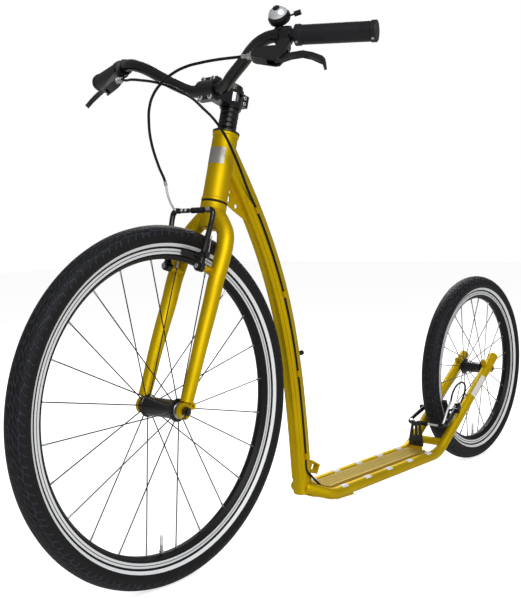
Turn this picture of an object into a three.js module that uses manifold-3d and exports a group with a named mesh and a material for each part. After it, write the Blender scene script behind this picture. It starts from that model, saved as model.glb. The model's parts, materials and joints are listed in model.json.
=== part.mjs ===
// Kick bike: a footbike with a large front wheel, a small rear wheel and a low deck.
// Millimetres. +X points forward, +Y to the rider's left and +Z up, and the ground is z = 0.
// The frame is laid out from the rear axle, and the steered parts from the foot of the head tube.
import * as THREE from "three";
import { mergeVertices } from "three/addons/utils/BufferGeometryUtils.js";
import Module from "manifold-3d";

const wasm = await Module();
wasm.setup();

// Driving dimensions
const wheelbase = 1154.5;
const frontWheelRadius = 325.5;
const rearWheelRadius = 248.5;
const frontTyreHeight = 46;
const rearTyreHeight = 45.5;
const frontBeadRadius = frontWheelRadius - frontTyreHeight;
const rearBeadRadius = rearWheelRadius - rearTyreHeight;
const tyreHalfWidth = 22.5;
const headAngle = 73.6;
const forkRake = 39.5;
const tyreToHeadTube = 67;
const axleToHeadTube = frontWheelRadius + tyreToHeadTube;
const headTubeLength = 131.3;
const headTubeRadius = 23.5;
const steererRadius = 14.3;
const mainTubeDepth = 42;
const mainTubeWidth = 33;
const railRadius = 12.3;
const railHalfSpacing = 43.5;
const railHeight = 68;
const railRearBend = 88;
const stayAngle = 35.5;
const stayAboveAxle = 7.8;
const deckToFrontTyre = 117;
const deckFront = wheelbase - frontWheelRadius - deckToFrontTyre;
const hubSpacing = 100;
const barRadius = 11.1;
const barClampRadius = 12.7;
const stemReach = 61;
const spacerCount = 4;
const spacerPitch = 9.575;
const housingRadius = 2.5;
const padGap = 1.8;

// Clearances
const gap = 0.3;
const runningGap = 0.4;
const overrun = 5;
const mergeTolerance = 1e-4;

// Finishes
const finish = {
  frame: { color: 0xb89a08, roughness: 0.35, metalness: 0.5 },
  black: { color: 0x1b1b1d, roughness: 0.45, metalness: 0.2 },
  rubber: { color: 0x1a1a1c, roughness: 0.85, metalness: 0 },
  silver: { color: 0xc9cbce, roughness: 0.3, metalness: 0.9 },
};

const radians = THREE.MathUtils.degToRad;
const fullTurn = 2 * Math.PI;
const vec = (x, y, z) => new THREE.Vector3(x, y, z);
const places = (rows) => rows.map(([x, y, z]) => vec(x, y, z));
const leftward = vec(0, 1, 0);
const fromFrontAxle = ([x, y, z]) => vec(wheelbase + x, y, z);

// Solids and booleans
function solid(geometry) {
  const bare = geometry.index ? geometry.toNonIndexed() : geometry.clone();
  bare.deleteAttribute("normal");
  bare.deleteAttribute("uv");
  const merged = mergeVertices(bare, mergeTolerance);
  const corners = merged.index.array;
  const kept = [];
  for (let i = 0; i < corners.length; i += 3) {
    const [a, b, c] = [corners[i], corners[i + 1], corners[i + 2]];
    if (a !== b && b !== c && c !== a) kept.push(a, b, c);
  }
  const mesh = new wasm.Mesh({
    numProp: 3,
    vertProperties: merged.attributes.position.array,
    triVerts: new Uint32Array(kept),
  });
  return new wasm.Manifold(mesh);
}

function geometryOf(body) {
  const mesh = body.getMesh();
  const geometry = new THREE.BufferGeometry();
  geometry.setAttribute("position", new THREE.BufferAttribute(mesh.vertProperties, 3));
  geometry.setIndex(new THREE.BufferAttribute(mesh.triVerts, 1));
  return geometry;
}

function join(...geometries) {
  return geometryOf(geometries.map(solid).reduce((sum, next) => sum.add(next)));
}

function cut(geometry, ...tools) {
  return geometryOf(tools.map(solid).reduce((left, tool) => left.subtract(tool), solid(geometry)));
}

// The same piece on the other side of the plane y = 0, with its faces turned to look outwards.
function mirrored(geometry) {
  const copy = geometry.index ? geometry.toNonIndexed() : geometry.clone();
  copy.scale(1, -1, 1);
  const position = copy.attributes.position;
  const second = vec(0, 0, 0);
  const third = vec(0, 0, 0);
  for (let i = 0; i < position.count; i += 3) {
    second.fromBufferAttribute(position, i + 1);
    third.fromBufferAttribute(position, i + 2);
    position.setXYZ(i + 1, third.x, third.y, third.z);
    position.setXYZ(i + 2, second.x, second.y, second.z);
  }
  return copy;
}

// Simple forms
function block([x0, x1], [y0, y1], [z0, z1]) {
  const geometry = new THREE.BoxGeometry(x1 - x0, y1 - y0, z1 - z0);
  return geometry.translate((x0 + x1) / 2, (y0 + y1) / 2, (z0 + z1) / 2);
}

function rod(from, to, radius, sides) {
  const along = to.clone().sub(from);
  const geometry = new THREE.CylinderGeometry(radius, radius, along.length(), sides);
  const turn = new THREE.Quaternion().setFromUnitVectors(leftward, along.clone().normalize());
  const middle = from.clone().add(to).multiplyScalar(1 / 2);
  return geometry.applyQuaternion(turn).translate(middle.x, middle.y, middle.z);
}

// A rod across the bike, from one distance y to another beside a point.
function crossRod(point, y0, y1, radius, sides) {
  return rod(point.clone().setY(y0), point.clone().setY(y1), radius, sides);
}

// The corner radius of a many-sided bore whose flats just clear a radius.
function clearing(radius, sides) {
  return radius / Math.cos(Math.PI / sides);
}

// A profile of [radius, place along the axis], which closes on itself or starts and ends on the axis.
function revolve(profile, sides, from = vec(0, 0, 0), direction = leftward) {
  const points = profile.map(([r, a]) => new THREE.Vector2(r, a));
  if (THREE.ShapeUtils.area(points) < 0) points.reverse();
  if (points.every((point) => point.x > 0)) points.push(points[0].clone());
  const turn = new THREE.Quaternion().setFromUnitVectors(leftward, direction);
  const geometry = new THREE.LatheGeometry(points, sides);
  return geometry.applyQuaternion(turn).translate(from.x, from.y, from.z);
}

function bothSides(half) {
  return [...half, ...half.map(([r, a]) => [r, -a]).reverse()];
}

function shapeOf(points) {
  return new THREE.Shape(points.map(([x, y]) => new THREE.Vector2(x, y)));
}

function plate(points, thickness) {
  return new THREE.ExtrudeGeometry(shapeOf(points), { depth: thickness, bevelEnabled: false });
}

// A plate with its outline in the side view, [x, z], and its middle on the plane y = middle.
function sidePlate(points, thickness, middle = 0) {
  const lying = plate(points, thickness).translate(0, 0, -thickness / 2);
  return lying.rotateX(Math.PI / 2).translate(0, middle, 0);
}

// A plate with its outline in the top view, [x, y], that stands on the height z = bottom.
function flatPlate(points, thickness, bottom) {
  return plate(points, thickness).translate(0, 0, bottom);
}

// Lays a section of [y, z] along X.
function alongX(section, from, to) {
  const turned = new THREE.Matrix4().makeBasis(leftward, vec(0, 0, 1), vec(1, 0, 0));
  return plate(section, to - from).applyMatrix4(turned).translate(from, 0, 0);
}

function circle(sides, radius, middle = [0, 0], stretch = 1) {
  return Array.from({ length: sides }, (_, i) => {
    const angle = (i * fullTurn) / sides;
    return [middle[0] + radius * Math.cos(angle), middle[1] + radius * stretch * Math.sin(angle)];
  });
}

// A path through chosen stations, so a straight run has a ring at its two ends only.
class StationPath extends THREE.Curve {
  constructor(stations) {
    super();
    this.stations = stations;
  }

  getPointAt(share, target = new THREE.Vector3()) {
    return target.copy(this.stations[Math.round(share * (this.stations.length - 1))]);
  }

  getTangentAt(share, target = new THREE.Vector3()) {
    const last = this.stations.length - 1;
    const i = Math.round(share * last);
    const here = this.stations[i];
    const before = here.clone().sub(this.stations[Math.max(i - 1, 0)]).normalize();
    const after = this.stations[Math.min(i + 1, last)].clone().sub(here).normalize();
    return target.addVectors(before, after).normalize();
  }
}

function sweep(stations, section) {
  const steps = stations.length - 1;
  const extrudePath = new StationPath(stations);
  return new THREE.ExtrudeGeometry(shapeOf(section), { steps, extrudePath, bevelEnabled: false });
}

// A round tube whose radius changes from station to station.
function taperedTube(stations, radii, sides) {
  const path = new StationPath(stations);
  const corners = [];
  const faces = [];
  const last = stations.length - 1;
  stations.forEach((station, i) => {
    const along = path.getTangentAt(i / last);
    const across = vec(1, 0, 0).addScaledVector(along, -along.x).normalize();
    const other = along.clone().cross(across);
    for (const [a, b] of circle(sides, radii[i])) {
      corners.push(station.clone().addScaledVector(across, a).addScaledVector(other, b));
    }
  });
  const at = (i, k) => i * sides + (k % sides);
  for (let k = 0; k < sides; k += 1) {
    for (let i = 0; i < last; i += 1) {
      faces.push(at(i, k), at(i, k + 1), at(i + 1, k + 1), at(i, k), at(i + 1, k + 1), at(i + 1, k));
    }
    if (k > 0 && k < sides - 1) {
      faces.push(at(0, 0), at(0, k + 1), at(0, k), at(last, 0), at(last, k), at(last, k + 1));
    }
  }
  return new THREE.BufferGeometry().setFromPoints(corners).setIndex(faces);
}

// Corners joined by straight runs, with every inner corner rounded to its bend radius.
function bend(corners, radii, steps) {
  const stations = [corners[0]];
  for (let i = 1; i < corners.length - 1; i += 1) {
    const back = corners[i - 1].clone().sub(corners[i]).normalize();
    const on = corners[i + 1].clone().sub(corners[i]).normalize();
    const half = back.angleTo(on) / 2;
    const centre = back.clone().add(on).normalize();
    centre.multiplyScalar(radii[i - 1] / Math.sin(half)).add(corners[i]);
    const trim = radii[i - 1] / Math.tan(half);
    const start = corners[i].clone().addScaledVector(back, trim).sub(centre);
    const end = corners[i].clone().addScaledVector(on, trim).sub(centre);
    const turn = start.angleTo(end);
    for (let step = 0; step <= steps; step += 1) {
      const share = step / steps;
      const place = start.clone().multiplyScalar(Math.sin((1 - share) * turn) / Math.sin(turn));
      place.addScaledVector(end, Math.sin(share * turn) / Math.sin(turn));
      stations.push(place.add(centre));
    }
  }
  stations.push(corners[corners.length - 1]);
  return stations;
}

function smooth(points, steps) {
  return new THREE.CatmullRomCurve3(points, false, "centripetal").getSpacedPoints(steps);
}

function housingAlong(stations, growth = 0) {
  return sweep(stations, circle(8, housingRadius + growth));
}

function mesh(name, geometry, look) {
  const shown = geometry.index ? geometry.toNonIndexed() : geometry;
  shown.computeVertexNormals();
  const made = new THREE.Mesh(shown, new THREE.MeshStandardMaterial(finish[look]));
  made.name = name;
  return made;
}

// A local frame of three directions, the third being the first crossed with the second.
function frameAt(origin, first, second) {
  const third = first.clone().cross(second);
  return new THREE.Matrix4().makeBasis(first, second, third).setPosition(origin);
}

// Places that several pieces share
const tilt = radians(90 - headAngle);
const steerForward = vec(Math.cos(tilt), 0, Math.sin(tilt));
const steerUp = vec(-Math.sin(tilt), 0, Math.cos(tilt));
const rearAxle = vec(0, 0, rearWheelRadius);
const frontAxle = vec(wheelbase, 0, frontWheelRadius);
const headFoot = frontAxle.clone().addScaledVector(steerForward, -forkRake);
headFoot.addScaledVector(steerUp, axleToHeadTube);
const steeringFrame = new THREE.Matrix4().makeBasis(steerForward, leftward, steerUp).setPosition(headFoot);
const fromSteer = (x, y, z) => vec(x, y, z).applyMatrix4(steeringFrame);
const steered = (geometry) => geometry.applyMatrix4(steeringFrame);
const steerTurned = (profile, sides) => revolve(profile, sides, headFoot, steerUp);

// Wheels: tyre, rim with its valve, and hub with radial spokes
const rimHalfWidth = 12.5;
const rimWall = 1.8;
const rimFlange = 6;
const trackDepth = 13;
const rimDepth = 20;
const rimSpineHalf = 5.5;
const rimWellDepth = 4;
const rimWellHalf = 6;
const casing = 3.5;
const tread = 5;
const spokeCount = 24;
const spokeRadius = 1.1;
const spokeAim = 1.5;
const flangeRadius = 21;
const flangeThickness = 3.5;
const hubEndRadius = 10;
const hubEnd = 44;
const hubTaper = 3;
const axleRadius = 4.9;
const coneRadius = 8;
const dropoutThickness = 6;
const nutRadius = 8.6;
const nutThickness = 7;
const axleStub = 3;
const valveRadius = 3;
const valveLength = 34;
const valvePlace = 5.5;
const frontWheel = { sides: 36, phase: -0.1976, flangePlace: 38, barrelRadius: 17 };
const rearWheel = { sides: 32, phase: -0.1613, flangePlace: 27, barrelRadius: 14 };
const sidewallShares = [[0.25, 0.87], [0.49, 1], [0.76, 0.93], [0.93, 0.58]];
const liningShares = [[0.4, 1], [0.78, 0.72]];

function tyre(radius, beadRadius, sides) {
  const flange = beadRadius + rimFlange + gap;
  const bead = rimHalfWidth - rimWall - gap;
  const rise = radius - flange;
  const walls = sidewallShares.map(([up, out]) => [flange + up * rise, out * tyreHalfWidth]);
  const outside = [[beadRadius + gap, bead], [flange, bead], [flange, rimHalfWidth], ...walls];
  const crown = radius - tread;
  const lining = liningShares.map(([up, out]) => [
    flange + up * (crown - flange),
    out * (tyreHalfWidth - casing),
  ]);
  const inside = [[beadRadius + gap, bead - casing], ...lining];
  const left = [...outside, [radius, 0]];
  const right = outside.map(([r, a]) => [r, -a]).reverse();
  const back = [...inside.map(([r, a]) => [r, -a]), [crown, 0], ...inside.slice().reverse()];
  return revolve([...left, ...right, ...back], sides);
}

function spokeDirection(phase, k) {
  const angle = phase - (k * fullTurn) / spokeCount;
  return vec(-Math.cos(angle), 0, Math.sin(angle));
}

function rim(beadRadius, { sides, phase }) {
  const outer = beadRadius + rimFlange;
  const inner = outer - rimDepth;
  const half = [
    [inner, rimSpineHalf], [outer - trackDepth, rimHalfWidth], [outer, rimHalfWidth],
    [outer, rimHalfWidth - rimWall], [beadRadius, rimHalfWidth - rimWall],
    [beadRadius - rimWellDepth, rimWellHalf],
  ];
  const out = spokeDirection(phase, valvePlace);
  const valveFoot = out.clone().multiplyScalar(inner + rimWellDepth);
  const valveTip = out.clone().multiplyScalar(inner - valveLength);
  return join(revolve(bothSides(half), sides), rod(valveFoot, valveTip, valveRadius, 8));
}

function hub(beadRadius, { sides, phase, flangePlace, barrelRadius }) {
  const half = [
    [axleRadius + runningGap, hubEnd], [hubEndRadius, hubEnd],
    [hubEndRadius, flangePlace + hubTaper], [flangeRadius, flangePlace + flangeThickness / 2],
    [flangeRadius, flangePlace - flangeThickness / 2],
    [barrelRadius, flangePlace - flangeThickness - hubTaper],
  ];
  const rimInside = (beadRadius + rimFlange - rimDepth) * Math.cos(Math.PI / sides);
  const spokes = Array.from({ length: spokeCount }, (_, k) => {
    const side = k % 2 ? 1 : -1;
    const out = spokeDirection(phase, k);
    const foot = out.clone().multiplyScalar(flangeRadius - flangeThickness).setY(side * flangePlace);
    const tip = out.clone().multiplyScalar(rimInside - gap).setY(side * spokeAim);
    return rod(foot, tip, spokeRadius, 4);
  });
  return join(revolve(bothSides(half), 12), ...spokes);
}

function wheelAxle() {
  const centre = vec(0, 0, 0);
  const face = hubSpacing / 2;
  const nutFace = face + dropoutThickness + gap;
  const nutEnd = nutFace + nutThickness;
  const pieces = [crossRod(centre, -nutEnd - axleStub, nutEnd + axleStub, axleRadius, 10)];
  for (const side of [-1, 1]) {
    pieces.push(crossRod(centre, side * (hubEnd + gap), side * (face - gap), coneRadius, 10));
    pieces.push(crossRod(centre, side * nutFace, side * nutEnd, nutRadius, 6));
  }
  return join(...pieces);
}

function wheel(prefix, centre, radius, beadRadius, layout) {
  const group = new THREE.Group();
  group.position.copy(centre);
  group.add(mesh(`${prefix}_tyre`, tyre(radius, beadRadius, layout.sides), "rubber"));
  group.add(mesh(`${prefix}_rim`, rim(beadRadius, layout), "black"));
  group.add(mesh(`${prefix}_hub`, hub(beadRadius, layout), "black"));
  group.add(mesh(`${prefix}_axle`, wheelAxle(), "silver"));
  return group;
}

// Head tube and bearings
const headSides = 20;
const headBore = 18.6;
const headLipRadius = 25;
const headLipHeight = 5;
const lipBevel = 0.8;
const bearingHeight = 9;
const sealHeight = 3.5;
const sealRadius = 24.4;

function headTube() {
  const foot = [
    [headBore, 0], [headLipRadius, 0], [headLipRadius, headLipHeight],
    [headTubeRadius, headLipHeight + lipBevel],
  ];
  const top = foot.map(([r, a]) => [r, headTubeLength - a]).reverse();
  return steerTurned([...foot, ...top], headSides);
}

function bearing(low, high) {
  const inner = steererRadius + runningGap;
  return [[inner, low], [headBore - gap, low], [headBore - gap, high], [inner, high]];
}

function upperBearing() {
  return steerTurned(bearing(headTubeLength - bearingHeight, headTubeLength), headSides);
}

function lowerBearing() {
  const [innerLow, outerLow, outerHigh, innerHigh] = bearing(-sealHeight, bearingHeight);
  const seal = [[sealRadius, outerLow[1]], [sealRadius, -gap], [outerLow[0], -gap]];
  return steerTurned([innerLow, ...seal, outerHigh, innerHigh], headSides);
}

function headTubeBlank(growth) {
  const low = fromSteer(0, 0, -overrun);
  const high = fromSteer(0, 0, headTubeLength + overrun);
  return rod(low, high, headTubeRadius + growth, headSides);
}

// Main tube: swept along one curve, with a groove on its left side for the rear brake's housing
const mainTubeJointShare = 0.66;
const mainTubeSetBack = 22;
const mainTubeJointReach = 25;
const mainTubeTopAngle = 236.3;
const mainTubeTopPull = 285;
const mainTubeFootAhead = 46;
const mainTubeFootRise = 10;
const mainTubeFoot = vec(deckFront + mainTubeFootAhead, 0, railHeight + mainTubeFootRise);
const mainTubeFootAngle = 85.6;
const mainTubeFootPull = 315;
const mainTubeSteps = 16;
const frontEdgeShare = [0, -1];
const groovedShares = [
  [-0.52, -0.93], [-0.86, -0.7], [-1, -0.42], [-0.97, -0.33], [-0.82, -0.27],
  [-0.82, 0.05], [-0.97, 0.11], [-0.98, 0.3], [-0.87, 0.68], [-0.54, 0.93],
];
const rearEdgeShare = [0, 1];
const plainShares = [
  [0.54, 0.93], [0.87, 0.68], [0.98, 0.3], [1, -0.38], [0.86, -0.7], [0.52, -0.93],
];
const grooveFloorShare = 0.82;
const grooveMiddleShare = -0.11;
const guideHeights = [677, 508, 340, 160];
const guideLength = 13;
const guideHalfDepth = 4.6;
const guideWall = 1.6;
const bossHeights = [268, 201];
const bossRadius = 3.6;
const bossLength = 6;
const plugHeight = 371;
const plugRadius = 4;
const plugHeadRadius = 5.4;
const plugHeadLength = 6;
const plugReach = 19;

function mainTubeStations() {
  const top = fromSteer(-mainTubeSetBack, 0, headTubeLength * mainTubeJointShare);
  const pulled = (from, angle, length) => {
    const direction = vec(Math.cos(radians(angle)), 0, Math.sin(radians(angle)));
    return from.clone().addScaledVector(direction, length);
  };
  const curve = new THREE.CubicBezierCurve3(
    top,
    pulled(top, mainTubeTopAngle, mainTubeTopPull),
    pulled(mainTubeFoot, mainTubeFootAngle, mainTubeFootPull),
    mainTubeFoot);
  const insideHeadTube = pulled(top, mainTubeTopAngle, -mainTubeJointReach);
  return [insideHeadTube, ...curve.getSpacedPoints(mainTubeSteps)];
}

const mainTubeLine = mainTubeStations();

function mainTubeSweep(growth) {
  const shares = [frontEdgeShare, ...groovedShares, rearEdgeShare, ...plainShares];
  const section = shares.map(([u, v]) => [
    -u * (mainTubeWidth / 2 + growth),
    v * (mainTubeDepth / 2 + growth),
  ]);
  return sweep(mainTubeLine, section);
}

// The point on the tube's centre line at a height, and the direction to the tube's rear.
function mainTubeAt(height) {
  const i = mainTubeLine.findIndex((point) => point.z <= height);
  const [above, below] = [mainTubeLine[i - 1], mainTubeLine[i]];
  const share = (above.z - height) / (above.z - below.z);
  const down = below.clone().sub(above).normalize();
  return { point: above.clone().lerp(below, share), back: vec(down.z, 0, -down.x) };
}

const grooveSeat = (mainTubeWidth / 2) * grooveFloorShare + housingRadius + 2 * gap;

function groovePoint(height) {
  const { point, back } = mainTubeAt(height);
  return point.addScaledVector(back, (grooveMiddleShare * mainTubeDepth) / 2).setY(grooveSeat);
}

function cableGuide(height) {
  const { back } = mainTubeAt(height);
  const wall = housingRadius + gap + guideWall;
  const depth = [-guideHalfDepth, guideHalfDepth];
  const bridge = block(depth, [-wall, wall], [-guideLength / 2, guideLength / 2]);
  return bridge.applyMatrix4(frameAt(groovePoint(height), back, leftward));
}

function rearRod(height, from, to, radius) {
  const { point, back } = mainTubeAt(height);
  const surface = point.addScaledVector(back, mainTubeDepth / 2);
  const at = (distance) => surface.clone().addScaledVector(back, distance);
  return rod(at(from), at(to), radius, 10);
}

function tubePlug(growth) {
  const head = rearRod(plugHeight, plugReach - plugHeadLength, plugReach, plugHeadRadius + growth);
  return join(rearRod(plugHeight, -overrun - growth, plugReach, plugRadius + growth), head);
}

function mainTube(...housings) {
  const guides = guideHeights.map(cableGuide);
  const bosses = bossHeights.map((height) => rearRod(height, -overrun, bossLength, bossRadius));
  const welded = join(mainTubeSweep(0), ...guides, ...bosses);
  return cut(welded, headTubeBlank(gap), tubePlug(gap), ...housings);
}

// Gusset plate in the corner between the head tube and the main tube
const gussetThickness = 5;
const gussetOutline = [[-18, 7.6], [-32, 5], [-60, -2.5], [-91, -9.5], [-104, -14], [-56, 62], [-18, 62]];
const gussetHoles = [
  { radius: 2, middle: [-35, 30], stretch: 1.2 },
  { radius: 3.4, middle: [-34, 15.2], stretch: 2 },
  { radius: 3.3, middle: [-58, 8.7], stretch: 1.2 },
];

function gusset() {
  const place = ([x, z]) => {
    const point = fromSteer(x, 0, z);
    return [point.x, point.z];
  };
  const sheet = sidePlate(gussetOutline.map(place), gussetThickness);
  const holes = gussetHoles.map(({ radius, middle, stretch }) =>
    sidePlate(circle(10, radius, middle, stretch).map(place), gussetThickness + overrun));
  return cut(sheet, headTubeBlank(gap), mainTubeSweep(gap), ...holes);
}

// Deck rails that run on as the stays of the rear wheel
const railSides = 10;
const railStartAhead = 56;
const railStartHalfSpacing = 10;
const railStartRise = 24;
const railStart = vec(deckFront + railStartAhead, railStartHalfSpacing, railHeight + railStartRise);
const railFrontBend = 45;
const stayTail = 42;
const pocketRadius = 16;
const dropoutRadius = 15;
const eyelet = { down: 6, out: 29, radius: 7, bore: 2.6, thickness: 6, inset: 8 };
const stayDown = vec(Math.cos(radians(stayAngle)), 0, -Math.sin(radians(stayAngle)));
const stayUpward = vec(Math.sin(radians(stayAngle)), 0, Math.cos(radians(stayAngle)));
const fromStay = (down, y, out) =>
  rearAxle.clone().addScaledVector(stayDown, down).addScaledVector(stayUpward, out).setY(y);
const stayRun = (rearAxle.z + stayAboveAxle * stayUpward.z - railHeight) / -stayDown.z;
const stayCorner = fromStay(stayRun, railHalfSpacing, stayAboveAxle);

function railLine() {
  const frontCorner = vec(deckFront, railHalfSpacing, railHeight);
  const tail = fromStay(-stayTail, railHalfSpacing, stayAboveAxle);
  return bend([railStart, frontCorner, stayCorner, tail], [railFrontBend, railRearBend], 4);
}

function railSweep(growth) {
  return sweep(railLine(), circle(railSides, railRadius + growth));
}

function eyeletTab(face) {
  const outer = face - eyelet.inset;
  const inner = outer - eyelet.thickness;
  const centre = fromStay(eyelet.down, 0, eyelet.out);
  const foot = pocketRadius + 2 * gap;
  const corners = [[-1, foot], [1, foot], [1, eyelet.out], [-1, eyelet.out]].map(([side, out]) => {
    const { x, z } = fromStay(eyelet.down + side * eyelet.radius, 0, out);
    return [x, z];
  });
  const web = sidePlate(corners, eyelet.thickness, (inner + outer) / 2);
  const tab = join(crossRod(centre, inner, outer, eyelet.radius, 12), web);
  return cut(tab, crossRod(centre, inner - overrun, outer + overrun, eyelet.bore, 10));
}

// The open slot that the axle drops into, from the axle's centre away from its tube.
function axleSlot(centre, away, reach) {
  const half = axleRadius + gap;
  const across = vec(away.z, 0, -away.x);
  const corner = (side, far) => {
    const place = centre.clone().addScaledVector(across, side * half).addScaledVector(away, far);
    return [place.x, place.z];
  };
  const inner = hubSpacing / 2 - overrun;
  const outer = hubSpacing / 2 + dropoutThickness + overrun;
  const outline = [corner(-1, 0), corner(1, 0), corner(1, reach), corner(-1, reach)];
  const channel = sidePlate(outline, outer - inner, (inner + outer) / 2);
  return join(channel, crossRod(centre, inner, outer, half, 12));
}

function deckRail(brakeBoss) {
  const face = hubSpacing / 2;
  const pocket = crossRod(rearAxle, 0, face, pocketRadius, 14);
  const dropout = crossRod(rearAxle, face, face + dropoutThickness, dropoutRadius, 14);
  const welded = join(cut(railSweep(0), pocket), dropout, brakeBoss, eyeletTab(face));
  const slot = axleSlot(rearAxle, stayUpward.clone().negate(), dropoutRadius + overrun);
  return cut(welded, mainTubeSweep(gap), slot);
}

// Deck plank with ribs along its top, on two cross bars between the rails
const plankSetBack = 17;
const plankFront = deckFront - plankSetBack;
const plankToRearTyre = 49.5;
const plankRear = rearWheelRadius + plankToRearTyre;
const plankHalfWidth = 29;
const plankTop = 80;
const plankWall = 3;
const plankDepth = 8;
const ribCount = 8;
const ribDepth = 1.2;
const ribEdge = 4;
const crossBarTop = plankTop - plankDepth;
const crossBarThickness = 4.7;
const frontCrossBarBehind = [57, 32];
const frontCrossBar = frontCrossBarBehind.map((x) => deckFront - x);
const rearCrossBarFromTyre = [31.5, 73.5];
const rearCrossBar = rearCrossBarFromTyre.map((x) => rearWheelRadius + x);
const footPlateThickness = 3;
const footPlateFromDeck = [[36, -24], [4, -50], [-72, -50], [-72, 50], [4, 50], [36, 24]];
const footPlateOutline = footPlateFromDeck.map(([x, y]) => [deckFront + x, y]);
const bridgeBehindTyre = 35.8;
const bridgeDown = rearWheelRadius + bridgeBehindTyre;
const bridgeRadius = 10;

function plankSection() {
  const ribbed = plankHalfWidth - ribEdge;
  const pitch = (2 * ribbed) / ribCount;
  const top = [[-plankHalfWidth, plankTop]];
  for (let i = 0; i < ribCount; i += 1) {
    const start = -ribbed + i * pitch;
    top.push([start, plankTop], [start + pitch / 4, plankTop - ribDepth]);
    top.push([start + (3 * pitch) / 4, plankTop - ribDepth]);
  }
  top.push([ribbed, plankTop], [plankHalfWidth, plankTop]);
  const inside = plankHalfWidth - plankWall;
  const bottom = plankTop - plankDepth;
  const under = plankTop - plankWall;
  const legs = [
    [plankHalfWidth, bottom], [inside, bottom], [inside, under],
    [-inside, under], [-inside, bottom], [-plankHalfWidth, bottom],
  ];
  return [...top, ...legs];
}

function betweenRails(geometry) {
  return cut(geometry, railSweep(gap), mirrored(railSweep(gap)));
}

function crossBar(span) {
  const reach = [-railHalfSpacing, railHalfSpacing];
  const height = [crossBarTop - crossBarThickness, crossBarTop + gap];
  return betweenRails(block(span, reach, height));
}

function deckPlank() {
  const plank = alongX(plankSection(), plankRear, plankFront);
  return join(plank, crossBar(frontCrossBar), crossBar(rearCrossBar));
}

function footPlate() {
  const top = railHeight - railRadius - gap;
  return flatPlate(footPlateOutline, footPlateThickness, top - footPlateThickness);
}

function stayBridge() {
  const middle = fromStay(bridgeDown, 0, stayAboveAxle);
  return betweenRails(crossRod(middle, -railHalfSpacing, railHalfSpacing, bridgeRadius, 14));
}

// Heel plate and the slotted bracket bolted to its front
const heelWall = 3;
const heelHalfWidth = 15;
const heelToRearTyre = 48.5;
const heelFace = rearWheelRadius + heelToRearTyre;
const heelTop = 106;
const heelFootReach = 15;
const heelFootRear = heelFace - heelFootReach;
const bracketWall = 3;
const bracketOutline = [[-20, 88], [20, 88], [20, 100], [12, 150], [-12, 150], [-20, 104]];
const bracketSlots = [[5.5, 128], [-5.5, 126]];
const slotHalfWidth = 2.5;
const slotHalfLength = 12.5;
const slotSides = 12;
const bracketBolts = [[6, 96], [-6, 95]];
const boltShank = 2.4;
const boltHead = 4.2;
const boltHeadHeight = 3;

function heelPlate() {
  const low = crossBarTop + 2 * gap;
  const outline = [
    [heelFootRear, low], [heelFace, low], [heelFace, heelTop], [heelFace - heelWall, heelTop],
    [heelFace - heelWall, low + heelWall], [heelFootRear, low + heelWall],
  ];
  const holes = bracketBolts.map(([y, z]) => {
    const front = vec(heelFace + overrun, y, z);
    return rod(front, vec(heelFace - heelWall - overrun, y, z), boltShank + gap, 10);
  });
  return cut(sidePlate(outline, 2 * heelHalfWidth), ...holes);
}

function slotOutline([y, z]) {
  const straight = slotHalfLength - slotHalfWidth;
  return Array.from({ length: slotSides }, (_, i) => {
    const angle = ((i + 1 / 2) * fullTurn) / slotSides;
    const rise = Math.sin(angle);
    return [y + slotHalfWidth * Math.cos(angle), z + slotHalfWidth * rise + Math.sign(rise) * straight];
  });
}

function heelBracket() {
  const face = heelFace + gap;
  const front = face + bracketWall;
  const slots = bracketSlots.map((middle) => alongX(slotOutline(middle), face - overrun, front + overrun));
  const bolts = bracketBolts.map(([y, z]) => {
    const tip = vec(front + boltHeadHeight, y, z);
    const shank = rod(vec(heelFace - heelWall, y, z), tip, boltShank, 10);
    return join(shank, rod(vec(front - gap, y, z), tip, boltHead, 6));
  });
  return join(cut(alongX(bracketOutline, face, front), ...slots), ...bolts);
}

// Lock loop on the back of the main tube
const loopAhead = 12;
const loopRise = 57;
const loopMiddle = [deckFront + loopAhead, railHeight + loopRise];
const loopTurn = 30;
const loopHalf = 15;
const loopHalfDepth = 11;
const loopWall = 3.5;
const loopWidth = 15;

function lockLoop() {
  const turn = radians(loopTurn);
  const square = (inset) => [[-1, -1], [1, -1], [1, 1], [-1, 1]].map(([a, b]) => {
    const [x, z] = [a * (loopHalf - inset), b * (loopHalfDepth - inset)];
    return [
      loopMiddle[0] + x * Math.cos(turn) - z * Math.sin(turn),
      loopMiddle[1] + x * Math.sin(turn) + z * Math.cos(turn),
    ];
  });
  const opening = sidePlate(square(loopWall), loopWidth + overrun);
  return cut(sidePlate(square(0), loopWidth), opening, mainTubeSweep(gap));
}

// Fork: crown with its steerer, and two tapered legs
const crownSeat = -sealHeight - gap;
const crownFootHeight = -52;
const crownFoot = [[0, crownFootHeight], [16, crownFootHeight]];
const crownWall = [[19, -47], [19, -24], [24.6, -16]];
const crownTopRadius = 24.6;
const steererRecess = 2;
const legLine = [
  [0, 12, -24], [1, 30, -42], [3, 45, -62], [6, 51.5, -85], [10.3, 53, -122], [15.3, 53.5, -151],
  [19.7, 53.8, -200], [25.7, 54.7, -248], [30.8, 55.4, -294], [35, 55, -345], [38.5, 55, -377],
];
const legRadii = [15.5, 15.5, 15.5, 15.5, 15.3, 15, 14.4, 13.6, 12.8, 12, 11.5];
const legSides = 10;
const forkDropoutRadius = 16;
const forkEyelet = { back: 20, up: 6, radius: 7, bore: 2.6 };

function crown(growth) {
  const foot = crownFoot.map(([r, a]) => [r && r + growth, a - growth]);
  const wall = crownWall.map(([r, a]) => [r + growth, a]);
  const top = [[crownTopRadius + growth, crownSeat + growth], [steererRadius, crownSeat + growth]];
  const steererTop = stemTop - steererRecess;
  const steerer = [[steererRadius, steererTop], [0, steererTop]];
  return steerTurned([...foot, ...wall, ...top, ...steerer], headSides);
}

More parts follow.
